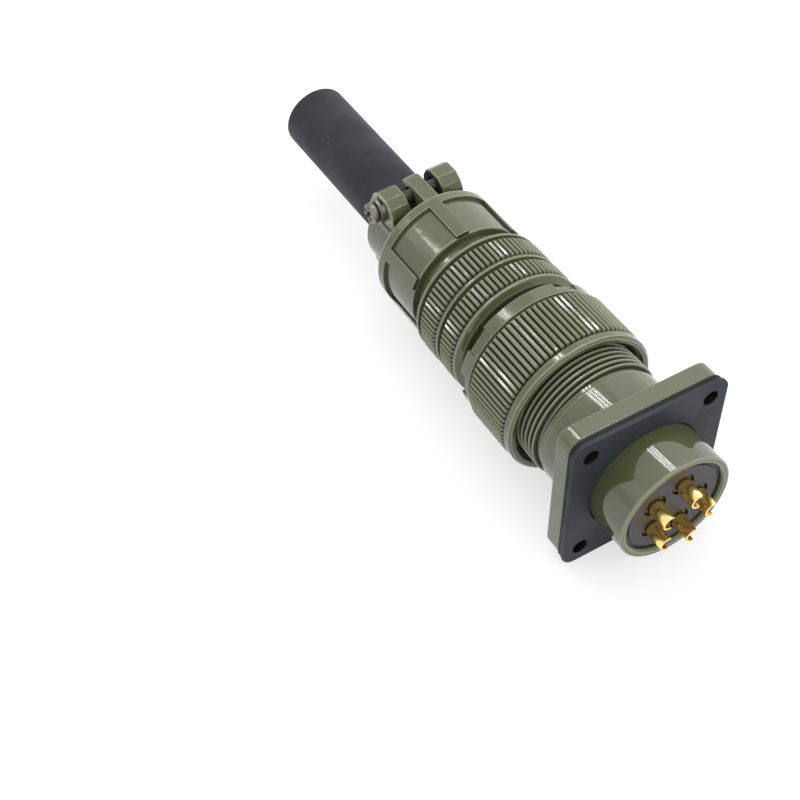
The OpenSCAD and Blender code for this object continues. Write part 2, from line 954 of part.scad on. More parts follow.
module screw_b() {
    color([0.62, 0.62, 0.58])
        clamp_frame(180)
            screw_solid();
}

module washer_b() {
    color([0.55, 0.55, 0.52])
        clamp_frame(180)
            washer_solid();
}

receptacle_shell();
flange_gasket();
receptacle_insert_front();
receptacle_insert_rear();
receptacle_ring();
contact_pin(0);  // contact_pin_1
contact_pin(1);  // contact_pin_2
contact_pin(2);  // contact_pin_3
contact_pin(3);  // contact_pin_4
contact_pin(4);  // contact_pin_5
plug_barrel();
plug_insert_front();
plug_insert_rear();
plug_ring();
contact_socket(0);  // contact_socket_1
contact_socket(1);  // contact_socket_2
contact_socket(2);  // contact_socket_3
contact_socket(3);  // contact_socket_4
contact_socket(4);  // contact_socket_5
nut_ring();
back_shell();
clamp_body();
cable_sleeve();
coupling_nut();
saddle_a();
screw_a();
washer_a();
saddle_b();
screw_b();
washer_b();
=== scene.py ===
import json
import math

import bmesh
import bpy
from mathutils import Matrix, Quaternion, Vector


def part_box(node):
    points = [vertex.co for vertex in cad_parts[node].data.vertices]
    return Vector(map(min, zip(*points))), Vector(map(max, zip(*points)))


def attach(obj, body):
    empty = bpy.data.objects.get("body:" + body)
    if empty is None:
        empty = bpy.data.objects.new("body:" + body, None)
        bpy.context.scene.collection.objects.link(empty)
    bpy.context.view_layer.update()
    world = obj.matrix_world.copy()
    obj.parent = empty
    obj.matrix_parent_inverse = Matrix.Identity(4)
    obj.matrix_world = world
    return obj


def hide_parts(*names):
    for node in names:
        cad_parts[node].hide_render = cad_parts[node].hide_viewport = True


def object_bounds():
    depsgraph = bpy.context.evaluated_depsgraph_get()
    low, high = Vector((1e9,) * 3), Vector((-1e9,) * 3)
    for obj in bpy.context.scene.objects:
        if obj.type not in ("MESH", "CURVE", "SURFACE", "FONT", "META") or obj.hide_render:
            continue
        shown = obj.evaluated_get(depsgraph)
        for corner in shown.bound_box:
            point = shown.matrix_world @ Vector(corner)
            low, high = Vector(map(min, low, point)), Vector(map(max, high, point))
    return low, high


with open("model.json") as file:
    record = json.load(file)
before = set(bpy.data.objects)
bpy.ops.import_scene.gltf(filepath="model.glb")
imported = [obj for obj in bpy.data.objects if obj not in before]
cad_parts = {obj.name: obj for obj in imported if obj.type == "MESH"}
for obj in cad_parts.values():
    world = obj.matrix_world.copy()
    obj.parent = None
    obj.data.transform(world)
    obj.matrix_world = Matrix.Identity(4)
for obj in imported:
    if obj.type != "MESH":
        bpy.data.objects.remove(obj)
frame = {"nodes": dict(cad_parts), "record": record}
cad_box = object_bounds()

SCENE = bpy.context.scene
MM = 0.001
TAU = 2 * math.pi
# Shading breaks where two faces meet at more than this angle.
HARD_CORNER = math.radians(36)
# A line of points lies this share of a rounding beside it and keeps the flat next to it flat.
HOLD = 0.12
# A turned profile that reaches the axis stops at this radius.
CORE = 0.02


def span(node, axis=0):
    """Where a CAD node begins and ends along one axis, in millimetres."""
    return [round(corner[axis] / MM, 2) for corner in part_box(node)]


# Sizes in millimetres. Places run along the connector's axis, and radii lie across it.
# Receptacle shell and gasket
REAR_X, FRONT_X = span("receptacle_shell")
FLANGE_W = 2 * span("receptacle_shell", 1)[1]
FLANGE_CORNER = 3.0
GASKET_W = 2 * span("flange_gasket", 1)[1]
GASKET_T = span("flange_gasket")[1]
FLANGE_X = (GASKET_T, GASKET_T + 4.1)
BOLTS = next(mount["dims"] for mount in frame["record"]["mounts"] if mount["name"] == "panel_bolts")
BOLT_AT = BOLTS["spacing_x_mm"] / 2
BOLT_R = BOLTS["hole_r_mm"]
REAR_R = 12.45
REAR_BORE = REAR_R - 1.55
WEB_X = (GASKET_T, GASKET_T + 2.0)
WEB_BORE = REAR_BORE - 1.1
THREAD_CREST = 14.29
THREAD_DEPTH = 0.8
THREAD_ROOT = THREAD_CREST - THREAD_DEPTH
THREAD_TURNS = 6.25
PITCH = 1.27
RELIEF_R = THREAD_CREST - 0.4
RELIEF_END = FLANGE_X[1] + 7.65
THREAD_X = RELIEF_END + 1.4
FRONT_BORE = THREAD_ROOT - 1.35
KEY_HALF = 1.5
# Contacts
CONTACTS = 5
CONTACT_R = 5.5
CONTACT_TURN = math.radians(34)
SCOOP_TURN = math.radians(-175)
SCOOP_LEN = 2.6
CUP_TIP, PIN_TIP = span("contact_pin_1")
INSERT_FACE = span("receptacle_insert_rear")[0]
PIN_FACE = span("receptacle_insert_front")[1]
CUP_R = 1.7
WELL_R = 1.25
PIN_R = 1.19
SHOULDER_R = CUP_R + 0.5
COLLAR_X = (INSERT_FACE + 0.35, INSERT_FACE + 1.3)
# Coupling nut
GROOVE = 0.95
NUT_X = span("coupling_nut")
NUT_TIP = 16.99
NUT_LAND = NUT_TIP - 0.1
NUT_TEETH = 84
NUT_KNURL = (NUT_X[0] + 2.4, NUT_X[1] - 3.5)
NUT_BORE = THREAD_CREST + 0.35
NUT_WEB_X = (NUT_X[0] + 13.2, NUT_X[1] - 2.3)
NUT_WEB_BORE = 12.99
LUG_X = NUT_X[1] - 3.1
LUG_R = NUT_TIP - 0.6
LUG_GROUPS = 3
LUG_TURN = 76.5
SKIRT_BORE = 14.45
NOTCH_FLOOR = SKIRT_BORE + 0.89
NOTCH_W = 5.4
NOTCH_TURN = 20.0
# Back shell
BELL_X = span("back_shell")
BAND_TIP = 15.54
BAND_LAND = BAND_TIP - 0.1
BAND_TEETH = 80
FRONT_BAND = (BELL_X[0] + 1.9, BELL_X[0] + 7.1)
REAR_BAND = (FRONT_BAND[1] + 1.45, FRONT_BAND[1] + 7.6)
BELL_END = REAR_BAND[1] + 1.3
NECK_R = 12.4
NECK_BORE = NECK_R - 3.0
SPIGOT_END = span("plug_barrel")[1]
SPIGOT_SEAT = 12.69
CAVITY_R = 10.64
# Cable sleeve
SLEEVE_X = span("cable_sleeve")
SLEEVE_R = 7.75
SLEEVE_BORE = SLEEVE_R - 0.95
FOOT_END = SLEEVE_X[0] + 1.5
# Cable clamp
CLAMP_X = (span("clamp_body")[0], span("clamp_body")[0] + 13.3)
CLAMP_R = 14.73
CLAMP_BORE = NECK_R + 0.05
CLAMP_TURN = math.radians(-3)
SLEEVE_HOLE = SLEEVE_R + 0.05
PANELS = 6
PANEL_R = CLAMP_R - 0.8
PANEL_END = CLAMP_X[1] - 2.5
PANEL_TURN = math.radians(-6)
RIB_HALF = math.radians(6)
SADDLE_X = sum(span("saddle_a")) / 2
SADDLE_W = span("saddle_a")[1] - span("saddle_a")[0]
SADDLE_TIP = 14.2
SADDLE_BORE = SLEEVE_R + 0.35
ARCH_R = SADDLE_BORE + 2.9
ARCH_HALF = 7.0
EAR_HALF = 1.8
EAR_TOP = SADDLE_TIP - 0.1
EAR_END = SADDLE_X + 3.7
SADDLE_V = (EAR_HALF + 2.3, EAR_HALF + 7.2)
SCREW_U = SADDLE_TIP - 3.3
SCREW_R = 1.45
SCREW_HOLE = SCREW_R + 0.35
HEAD_R = 2.4
HEAD_H = 1.5
WASHER_R = 2.8
WASHER_BORE = 1.52
WASHER_T = 1.8


class Term:
    """A value that changes over a surface or along a path, written with plain arithmetic."""

    def __init__(self, nodes, socket):
        self.nodes = nodes
        self.socket = socket

    def math(self, operation, *values):
        return self.nodes.term("ShaderNodeMath", {"operation": operation}, dict(enumerate(values)))

    def __add__(self, other):
        return self.math("ADD", self, other)

    def __radd__(self, other):
        return self.math("ADD", other, self)

    def __sub__(self, other):
        return self.math("SUBTRACT", self, other)

    def __rsub__(self, other):
        return self.math("SUBTRACT", other, self)

    def __mul__(self, other):
        return self.math("MULTIPLY", self, other)

    def __rmul__(self, other):
        return self.math("MULTIPLY", other, self)

    def __truediv__(self, other):
        return self.math("DIVIDE", self, other)

    def __rtruediv__(self, other):
        return self.math("DIVIDE", other, self)

    def most(self, other):
        return self.math("MAXIMUM", self, other)

    def least(self, other):
        return self.math("MINIMUM", self, other)

    def within(self):
        return self.most(0.0).least(1.0)

    def ramp(self, low, high):
        """0 below low and 1 above high, eased between."""
        eased = {"interpolation_type": "SMOOTHSTEP"}
        return self.nodes.term("ShaderNodeMapRange", eased, {0: self, 1: low, 2: high})


class Nodes:
    """Adds nodes to one tree: settings first, then the values or links of the sockets."""

    def __init__(self, tree):
        self.tree = tree

    def node(self, kind, settings=None, sockets=None):
        made = self.tree.nodes.new(kind)
        for name, value in (settings or {}).items():
            setattr(made, name, value)
        for key, value in (sockets or {}).items():
            self.fill(made.inputs[key], value)
        return made

    def fill(self, socket, value):
        """Links a socket to a term or another socket, or sets its value."""
        source = value.socket if isinstance(value, Term) else value
        if isinstance(source, bpy.types.NodeSocket):
            self.tree.links.new(source, socket)
        else:
            socket.default_value = source

    def term(self, kind, settings=None, sockets=None, output=0):
        return Term(self, self.node(kind, settings, sockets).outputs[output])

    def shape(self, kind, settings=None, sockets=None):
        """The geometry that a Geometry Nodes node gives out."""
        return self.node("GeometryNode" + kind, settings, sockets).outputs[0]


class Finish(Nodes):
    """One finish of the connector, read in the part's own coordinates."""

    def __init__(self, name, **constants):
        self.material = bpy.data.materials.new(name)
        self.material.use_nodes = True
        super().__init__(self.material.node_tree)
        self.shader = self.tree.nodes["Principled BSDF"]
        self.set(**constants)
        self.at = self.node("ShaderNodeTexCoord").outputs["Object"]

    def stretched(self, x, y, z):
        return self.node("ShaderNodeMapping", None, {0: self.at, 3: (x, y, z)}).outputs[0]

    def grain(self, per_metre, detail=2.0, at=None):
        return self.term("ShaderNodeTexNoise", None, {0: at or self.at, 2: per_metre, 3: detail})

    def cells(self, per_metre, feature="F1"):
        return self.term("ShaderNodeTexVoronoi", {"feature": feature}, {0: self.at, 2: per_metre})

    def mark(self, name):
        """A value that the mesh itself carries, such as how rough a point was cast."""
        return self.term("ShaderNodeAttribute", {"attribute_name": name}, None, 2)

    def lip(self):
        """How far a point lies on an outer edge."""
        return self.mark("edge").within()

    def hollow(self):
        """How far a point lies in a groove or corner."""
        return (0.0 - self.mark("edge")).within()

    def tint(self, share, low, high):
        made = self.node("ShaderNodeMix", {"data_type": "RGBA"}, {0: share, 6: low, 7: high})
        return made.outputs[2]

    def bump(self, height, depth_mm, below=None):
        sockets = {0: 1.0, 1: depth_mm * MM, 3: height}
        if below is not None:
            sockets[4] = below
        return self.node("ShaderNodeBump", None, sockets).outputs[0]

    def set(self, **sockets):
        for name, value in sockets.items():
            self.fill(self.shader.inputs[name.replace("_", " ")], value)
        return self.material


def rgb(red, green, blue, share=1.0):
    """A colour written as it is seen, 0 to 255, or a darker share of it."""
    parts = [c * share / 255 for c in (red, green, blue)]
    return [c / 12.92 if c <= 0.04045 else ((c + 0.055) / 1.055) ** 2.4 for c in parts] + [1.0]


def olive_enamel(
    name, body=(84, 88, 59), edge_highlight=(150, 153, 124), deep=(12, 13, 7), peel=0.005, cast=0.0, dull=0.0
):
    """Thick glossy olive enamel, with a painted highlight on its rounded edges and painted shade in its
    grooves, holes and corners.
    """
    f = Finish(name, IOR=1.52, Specular_IOR_Level=0.75)
    cloud = f.grain(55, 3)
    shade_share = f.hollow()
    tone = f.tint(cloud.ramp(0.3, 0.7) * 0.35, rgb(*body), rgb(*body, 0.9))
    # Painted highlight: points marked as rounded edges are lightened toward the pale edge colour.
    tone = f.tint(f.lip() * 0.7, tone, rgb(*edge_highlight))
    # Painted shade: points marked as hollows are darkened toward the deep colour.
    tone = f.tint(shade_share, tone, rgb(*deep))
    gloss = 0.05 + 0.03 * f.grain(900, 2) + 0.05 * cloud.ramp(0.5, 0.75) + 0.8 * shade_share + dull
    normal = f.bump(f.grain(380, 1), peel)
    if cast:
        rough_cast = f.mark("cast")
        hammered = f.cells(1150, "SMOOTH_F1") + 0.6 * f.grain(900, 3)
        normal = f.bump(hammered * rough_cast, cast, normal)
        gloss = gloss + 0.06 * rough_cast
        worn = rough_cast * rough_cast * hammered.ramp(0.45, 0.9) * 0.5
        tone = f.tint(worn, tone, rgb(150, 152, 132))
    return f.set(Base_Color=tone, Roughness=gloss, Normal=normal)


def black_rubber(name, body=(38, 40, 47), worn=(62, 65, 73), scuffs=0.5):
    """Blue-black moulded rubber with fine dust specks and rubbed patches, a painted highlight on its edges
    and painted shade in its hollows.
    """
    f = Finish(name, IOR=1.45, Specular_IOR_Level=0.35)
    cloud = f.grain(90, 4)
    rub = f.grain(700, 4, f.stretched(0.12, 1, 1)).ramp(0.52, 0.74)
    speck = (1 - f.cells(420).ramp(0.05, 0.14)) * f.grain(160, 1).ramp(0.5, 0.62)
    tone = f.tint(cloud.ramp(0.35, 0.7) * 0.55, rgb(*body), rgb(*body, 0.72))
    # Rubbed patches are real wear; the lightening along the rounded edges is a painted highlight.
    tone = f.tint(rub * scuffs * 0.5 + f.lip() * 0.35, tone, rgb(*worn))
    tone = f.tint(speck * scuffs * 0.6, tone, rgb(120, 122, 128))
    # Painted shade: hollows, such as the gasket's undercut neck, are darkened nearly to black.
    tone = f.tint(f.hollow(), tone, rgb(7, 7, 9))
    return f.set(
        Base_Color=tone,
        Roughness=0.5 + 0.16 * cloud.ramp(0.3, 0.75) + 0.1 * rub,
        Normal=f.bump(f.grain(1800, 3) + 0.5 * f.grain(260, 3), 0.02),
    )


def insert_plastic(name):
    """Dark grey moulded insulator, matt with a fine grain."""
    f = Finish(name, IOR=1.49)
    cloud = f.grain(140, 3)
    flow = f.grain(420, 3, f.stretched(1, 1, 0.3))
    tone = f.tint(cloud.ramp(0.3, 0.7), rgb(50, 49, 55), rgb(66, 62, 68))
    tone = f.tint(flow.ramp(0.55, 0.75) * 0.5, tone, rgb(86, 66, 64))
    return f.set(
        Base_Color=tone,
        Roughness=0.42 + 0.14 * cloud,
        Normal=f.bump(f.grain(2400, 3), 0.012),
    )


def contact_gold(name):
    """Bright gold plate with a copper glow in the solder wells."""
    f = Finish(name)
    well = f.mark("well")
    cloud = f.grain(500, 2)
    tone = f.tint(cloud.ramp(0.35, 0.7) * 0.5, rgb(255, 228, 148), rgb(246, 200, 100))
    tone = f.tint(well * 0.7, tone, rgb(226, 146, 64))
    # Painted shade: the well bottoms and the collars round the cups are darkened to brown.
    tone = f.tint(f.hollow(), tone, rgb(66, 45, 30))
    return f.set(
        Base_Color=tone,
        Roughness=0.09 + 0.07 * cloud + 0.08 * well,
        Metallic=0.94 - 0.1 * cloud.ramp(0.6, 0.9),
        Normal=f.bump(f.grain(700, 2, f.stretched(0.2, 1, 1)), 0.006),
    )


def dull_steel(name, bare=(150, 148, 138), film=(78, 79, 62), share=0.7):
    """Plated steel with olive overspray left in the hollows, and painted shade in the cross recess."""
    f = Finish(name)
    recess = f.mark("recess")
    spray = f.grain(420, 4).ramp(0.35, 0.65) * share + f.hollow() * 0.5 - f.lip() * 0.4
    spray = spray.within()
    lathe = f.grain(1500, 3)
    tone = f.tint(lathe.ramp(0.3, 0.7), rgb(*bare), rgb(*bare, 0.82))
    tone = f.tint(spray, tone, rgb(*film))
    # Painted shade: faces inside the cross recess are made near-black and not metallic.
    tone = f.tint(recess, tone, rgb(16, 16, 13))
    return f.set(
        Base_Color=tone,
        Metallic=(1 - 0.75 * spray) * (1 - recess),
        Roughness=0.24 + 0.14 * lathe + 0.12 * spray,
        Normal=f.bump(lathe, 0.008),
    )


COATS = (
    ("shell_paint", olive_enamel, {"peel": 0.0035, "cast": 0.04}),
    ("nut_paint", olive_enamel, {"peel": 0.002}),
    ("bell_paint", olive_enamel, {"peel": 0.002}),
    ("barrel_paint", olive_enamel, {"body": (62, 65, 42), "edge_highlight": (86, 88, 64), "deep": (30, 32, 18)}),
    ("clamp_paint", olive_enamel, {"peel": 0.03, "dull": 0.04}),
    ("saddle_paint", olive_enamel, {"peel": 0.003, "cast": 0.16}),
    ("gasket_rubber", black_rubber, {"body": (47, 50, 57), "worn": (80, 84, 90), "scuffs": 0.4}),
    ("sleeve_rubber", black_rubber, {}),
    ("insert_plastic", insert_plastic, {}),
    ("contact_gold", contact_gold, {}),
    ("ring_steel", dull_steel, {"bare": (58, 57, 55), "film": (40, 40, 36), "share": 0.3}),
    ("screw_steel", dull_steel, {}),
)
FINISH = {slot: coat(slot, **settings) for slot, coat, settings in COATS}


def along(x, a, b):
    """A point given along the connector's axis and across it."""
    return Vector((x, a, b)) * MM


def facing_panel(a, b, x):
    """A point of a flat plate that lies across the connector's axis."""
    return along(x, a, b)


def round_axis(x, radius, turn):
    """A point given along the connector's axis, out from it and round it."""
    return along(x, radius * math.cos(turn), radius * math.sin(turn))


def in_clamp(x, u, v):
    """A point of the clamp: along the axis, along the ears, and across them."""
    c, s = math.cos(CLAMP_TURN), math.sin(CLAMP_TURN)
    return along(x, v * c - u * s, v * s + u * c)


def at_screw(flip):
    """Places points about a clamp screw: along it and across it."""

    def place(v, a, b):
        return in_clamp(SADDLE_X + a, (SCREW_U + b) * flip, v * flip)

    return place


def soften(points, cuts=4):
    """Rounds the corners of a closed outline of (a, b, radius) and marks them as edge or hollow."""
    area = sum(p[0] * q[1] - q[0] * p[1] for p, q in zip(points, points[1:] + points[:1]))
    out = []
    for i, (a, b, radius) in enumerate(points):
        here = Vector((a, b))
        if not radius:
            out.append((here, 0.0))
            continue
        back = Vector(points[i - 1][:2]) - here
        ahead = Vector(points[(i + 1) % len(points)][:2]) - here
        reach = min(radius, 0.42 * back.length, 0.42 * ahead.length)
        back, ahead = back.normalized(), ahead.normalized()
        side = ahead.cross(back) * (1 if area > 0 else -1)
        sign = 1.0 if side > 0 else -1.0
        start, end = here + back * reach, here + ahead * reach
        out.append((start + back * HOLD * reach, 0.0))
        for k in range(cuts + 1):
            t = k / cuts
            spot = start * (1 - t) ** 2 + here * 2 * t * (1 - t) + end * t * t
            out.append((spot, sign * (1 - abs(2 * t - 1) * 0.6)))
        out.append((end + ahead * HOLD * reach, 0.0))
    return out


def skinned(rows, ring=True, loop=True, capped=False, marks=("edge",)):
    """Skins rows of (place, mark, ...): ring joins the last row to the first, and loop closes each row."""
    bm = bmesh.new()
    layers = [bm.verts.layers.float.new(name) for name in marks]
    grid = []
    for row in rows:
        points = []
        for place, *values in row:
            point = bm.verts.new(place)
            for layer, value in zip(layers, values):
                point[layer] = value
            points.append(point)
        grid.append(points)
    for near, far in zip(grid, grid[1:] + grid[:1] if ring else grid[1:]):
        for k in range(len(near) if loop else len(near) - 1):
            m = (k + 1) % len(near)
            bm.faces.new((near[k], near[m], far[m], far[k]))
    if capped:
        for points in (grid[0], grid[-1]):
            bm.faces.new(points)
    return bm


def closed(bm):
    """Merges doubled points and turns every face outwards."""
    bmesh.ops.remove_doubles(bm, verts=bm.verts, dist=2e-7)
    bmesh.ops.recalc_face_normals(bm, faces=bm.faces)
    return bm


def to_mesh(bm, name):
    """Shades a mesh smooth, but not across its hard corners."""
    for face in bm.faces:
        face.smooth = True
    for line in bm.edges:
        if len(line.link_faces) == 2 and line.calc_face_angle() > HARD_CORNER:
            line.smooth = False
    mesh = bpy.data.meshes.new(name)
    bm.to_mesh(mesh)
    bm.free()
    return mesh


def laid(name, data):
    """Puts a mesh, curve, lamp or camera into the scene."""
    made = bpy.data.objects.new(name, data)
    SCENE.collection.objects.link(made)
    return made


def settled(rough):
    """The plain mesh of an object with its curve settings or modifiers worked out."""
    return bpy.data.meshes.new_from_object(rough.evaluated_get(bpy.context.evaluated_depsgraph_get()))


def joined(name, meshes):
    """One object from several meshes."""
    parts = [laid(name, mesh) for mesh in meshes]
    if len(parts) > 1:
        with bpy.context.temp_override(active_object=parts[0], selected_editable_objects=parts):
            bpy.ops.object.join()
    return parts[0]


def marked(mesh, name, value):
    """Gives every point of a mesh the same mark."""
    layer = mesh.attributes.get(name) or mesh.attributes.new(name, "FLOAT", "POINT")
    for mark in layer.data:
        mark.value = value
    return mesh


def turned(profile, steps=144, place=along, cuts=4):
    """A closed profile of (x, radius, rounding) turned about an axis."""
    ring = soften(profile, cuts)
    rows = []
    for s in range(steps):
        c, d = math.cos(TAU * s / steps), math.sin(TAU * s / steps)
        rows.append([(place(spot.x, spot.y * c, spot.y * d), mark) for spot, mark in ring])
    return to_mesh(closed(skinned(rows)), "turned")


def circle(a, b, radius, count):
    spots = [TAU * i / count for i in range(count)]
    return [Vector((a + radius * math.cos(t), b + radius * math.sin(t))) for t in spots]


def rounded_square(width, corner=FLANGE_CORNER, cuts=7):
    spots = []
    reach = width / 2 - corner
    for quarter, (a, b) in enumerate(((1, 1), (-1, 1), (-1, -1), (1, -1))):
        for k in range(cuts + 1):
            t = math.pi / 2 * (quarter + k / cuts)
            spots.append(Vector((a * reach + corner * math.cos(t), b * reach + corner * math.sin(t))))
    return spots


def cut_across(bm, axis, level):
    """Adds a line of points where a flat cut across one axis meets the mesh."""
    spot, way = [0.0, 0.0, 0.0], [0.0, 0.0, 0.0]
    spot[axis], way[axis] = level, 1.0
    bmesh.ops.bisect_plane(bm, geom=bm.verts[:] + bm.edges[:] + bm.faces[:], plane_co=spot, plane_no=way)


def flat_sheet(outline, holes, thick, edge_round, cuts):
    """The plain mesh of a filled outline with holes, thickened and bevelled."""
    curve = bpy.data.curves.new("plate", "CURVE")
    curve.dimensions = "2D"
    curve.fill_mode = "BOTH"
    curve.extrude = thick / 2 - edge_round
    curve.bevel_depth = edge_round
    curve.bevel_resolution = cuts
    curve.offset = -edge_round
    for loop in [outline, *holes]:
        spline = curve.splines.new("POLY")
        spline.points.add(len(loop) - 1)
        for point, spot in zip(spline.points, loop):
            point.co = (spot[0], spot[1], 0, 1)
        spline.use_cyclic_u = True
    rough = laid("plate", curve)
    flat = settled(rough)
    bpy.data.objects.remove(rough)
    return flat


def plate(outline, holes, low, high, edge_round, place, cuts=2):
    """A flat plate with rounded edges, cut from an outline with holes."""
    flat = flat_sheet(outline, holes, high - low, edge_round, cuts)
    bm = bmesh.new()
    bm.from_mesh(flat)
    bpy.data.meshes.remove(flat)
    bmesh.ops.remove_doubles(bm, verts=bm.verts, dist=1e-4)
    bm.normal_update()
    caps = [f for f in bm.faces if abs(f.normal.z) > 0.999]
    bmesh.ops.inset_region(bm, faces=caps, thickness=HOLD / 2 * edge_round + 0.01, use_even_offset=True)
    edge = bm.verts.layers.float.new("edge")
    half = (high - low) / 2
    for level in ((1 + HOLD) * edge_round - half, half - (1 + HOLD) * edge_round):
        cut_across(bm, 2, level)
    middles = [(sum(loop, Vector((0, 0))) / len(loop), loop) for loop in holes]
    for point in bm.verts:
        bend = half - abs(point.co.z)
        spot = Vector(point.co[:2])
        near = 0.8 * edge_round
        inside = any((spot - mid).length < (loop[0] - mid).length + near for mid, loop in middles)
        # Hole walls are marked for painted shade, and points on the rounded edges for a painted highlight.
        point[edge] = -1.0 if inside else max(0.0, 1 - abs(bend / edge_round - 0.35) * 2.4)
        point.co = place(point.co.x, point.co.y, point.co.z + (low + high) / 2)
    return to_mesh(closed(bm), "plate")


def rimmed(outline, bore, low, high, edge_round):
    """A ring with a round bore and a shaped rim whose edges are rounded."""
    steps = [(0.0, 1.0), (0.3, 0.3), (1.0, 0.0), (1 + HOLD, 0.0)]
    steps = [(d * edge_round, inset * edge_round) for d, inset in steps]
    section = [(low + d, inset) for d, inset in steps] + [(high - d, inset) for d, inset in steps[::-1]]
    rows = []
    for i, spot in enumerate(outline):
        run = outline[(i + 1) % len(outline)] - outline[i - 1]
        inward = Vector((-run.y, run.x)).normalized()
        row = [(along(x, *(spot + inward * inset)), 0.9 if inset else 0.0) for x, inset in section]
        hole = spot.normalized() * bore
        inner = [along(high, *(hole * 1.015)), along(high - 0.3, *hole), along(low, *hole)]
        row += [(place, 0.0) for place in inner]
        rows.append(row)
    return to_mesh(closed(skinned(rows)), "rimmed")


def block(low, high, edge_round, place, cells=(1, 1, 1), foot=0.0):
    """A box with rounded edges, divided so that it can follow a curve; it takes painted shade below its foot
    and a painted highlight on its rounded edges.
    """
    bm = bmesh.new()
    bmesh.ops.create_cube(bm, size=1.0)
    for point in bm.verts:
        point.co = Vector([a if c < 0 else b for a, b, c in zip(low, high, point.co)])
    bmesh.ops.bevel(bm, geom=bm.edges[:], offset=edge_round, segments=3, profile=0.5, affect="EDGES")
    for axis, count in enumerate(cells):
        start, end = low[axis] + (1 + HOLD) * edge_round, high[axis] - (1 + HOLD) * edge_round
        for k in range(count + 1):
            cut_across(bm, axis, start + (end - start) * k / count)
    edge = bm.verts.layers.float.new("edge")
    for point in bm.verts:
        near = [min(c - a, b - c) for a, b, c in zip(low, high, point.co)]
        bent = sum(1 for d in near if d < edge_round * 0.95)
        point[edge] = 0.8 if bent > 1 else 0.0
        # Points below the foot are marked for painted shade where the rib meets the panel.
        if foot and point.co.z < foot:
            point[edge] = -1.0
        point.co = place(*point.co)
    return to_mesh(closed(bm), "block")


def piece(name, meshes, body, slot, replaces=()):
    """Joins meshes into one piece that rides on a body and may stand for CAD nodes."""
    for mesh in meshes:
        mesh.materials.clear()
        mesh.materials.append(FINISH[slot])
    made = joined(name, meshes)
    made.name = made.data.name = name
    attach(made, body)
    if replaces:
        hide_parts(*replaces)


def grown(mesh, tree, inputs):
    """Runs a Geometry Nodes tree on a mesh and gives the result back as a plain mesh."""
    seed = laid("seed", mesh)
    rule = seed.modifiers.new("rule", "NODES")
    rule.node_group = tree
    for item in tree.interface.items_tree:
        if item.item_type == "SOCKET" and item.in_out == "INPUT" and item.name in inputs:
            rule[item.identifier] = inputs[item.name]
    made = settled(seed)
    seed.modifiers.remove(rule)
    bpy.data.objects.remove(seed)
    return made


def new_tree(name, sockets):
    """A Geometry Nodes tree that takes a shape, the named inputs and a finish."""
    tree = bpy.data.node_groups.new(name, "GeometryNodeTree")
    given = [("Geometry", "Geometry"), *sockets.items(), ("Finish", "Material")]
    for label, kind in given:
        tree.interface.new_socket(label, in_out="INPUT", socket_type="NodeSocket" + kind)
    tree.interface.new_socket("Geometry", in_out="OUTPUT", socket_type="NodeSocketGeometry")
    nodes = Nodes(tree)
    return nodes, nodes.node("NodeGroupInput").outputs


def end_tree(nodes, geometry, finish, weld=2e-6):
    real = nodes.shape("RealizeInstances", None, {0: geometry})
    welded = nodes.shape("MergeByDistance", None, {0: real, 2: weld})
    smooth = nodes.shape("SetShadeSmooth", None, {0: welded})
    done = nodes.shape("SetMaterial", None, {0: smooth, 2: finish})
    nodes.node("NodeGroupOutput", None, {0: done})
    return nodes.tree


def ring_tree():
    """Sets copies of one tooth or rib evenly round the connector's axis."""
    nodes, given = new_tree("ring_of_copies", {"Copies": "Int", "First turn": "Float"})
    count = Term(nodes, given["Copies"])
    turn = nodes.term("GeometryNodeInputIndex") * TAU / count + Term(nodes, given["First turn"])
    euler = nodes.term("ShaderNodeCombineXYZ", None, {0: turn})
    rotation = nodes.node("FunctionNodeEulerToRotation", None, {0: euler}).outputs[0]
    points = nodes.shape("Points", None, {0: count})
    copies = nodes.shape("InstanceOnPoints", None, {0: points, 2: given["Geometry"], 5: rotation})
    return end_tree(nodes, copies, given["Finish"])


def layout_tree():
    """Sets copies of one contact on a circle across the axis, all facing the same way."""
    nodes, given = new_tree(
        "contact_layout", {"Contacts": "Int", "Circle radius": "Float", "First turn": "Float"}
    )
    count = Term(nodes, given["Contacts"])
    turn = nodes.term("GeometryNodeInputIndex") * TAU / count + Term(nodes, given["First turn"])
    radius = Term(nodes, given["Circle radius"])
    across = {1: radius * turn.math("COSINE", turn), 2: radius * turn.math("SINE", turn)}
    spot = nodes.term("ShaderNodeCombineXYZ", None, across)
    points = nodes.shape("Points", None, {0: count, 1: spot})
    copies = nodes.shape("InstanceOnPoints", None, {0: points, 2: given["Geometry"]})
    return end_tree(nodes, copies, given["Finish"])


def helix_tree():
    """Draws a ridge outline along a right-hand helix, fading out at both ends."""
    sizes = {name: "Float" for name in ("Turns", "Pitch", "Root radius", "Start", "Fade")}
    nodes, given = new_tree("screw_thread", {**sizes, "Steps a turn": "Int"})
    turns = Term(nodes, given["Turns"])
    rise = turns * Term(nodes, given["Pitch"])
    radius = given["Root radius"]
    winding = {0: given["Steps a turn"], 1: turns, 2: radius, 3: radius, 4: rise, 5: True}
    path = nodes.shape("CurveSpiral", None, winding)
    upright = nodes.shape("SetCurveNormal", {"mode": "Z_UP"}, {0: path})
    share = nodes.term("GeometryNodeSplineParameter")
    fade = Term(nodes, given["Fade"])
    size = (share / fade).least((1 - share) / fade).most(0.02).ramp(0.0, 1.0)
    outline = nodes.shape("MeshToCurve", None, {0: given["Geometry"]})
    ridge = nodes.shape("CurveToMesh", None, {0: upright, 1: outline, 2: size, 3: True})
    shift = nodes.term("ShaderNodeCombineXYZ", None, {0: given["Start"]})
    upended = (math.pi / 2, 0, math.pi / 2)
    lying = nodes.shape("Transform", None, {0: ridge, 1: shift, 2: upended})
    return end_tree(nodes, lying, given["Finish"], 1e-8)


RING = ring_tree()
LAYOUT = layout_tree()
HELIX = helix_tree()


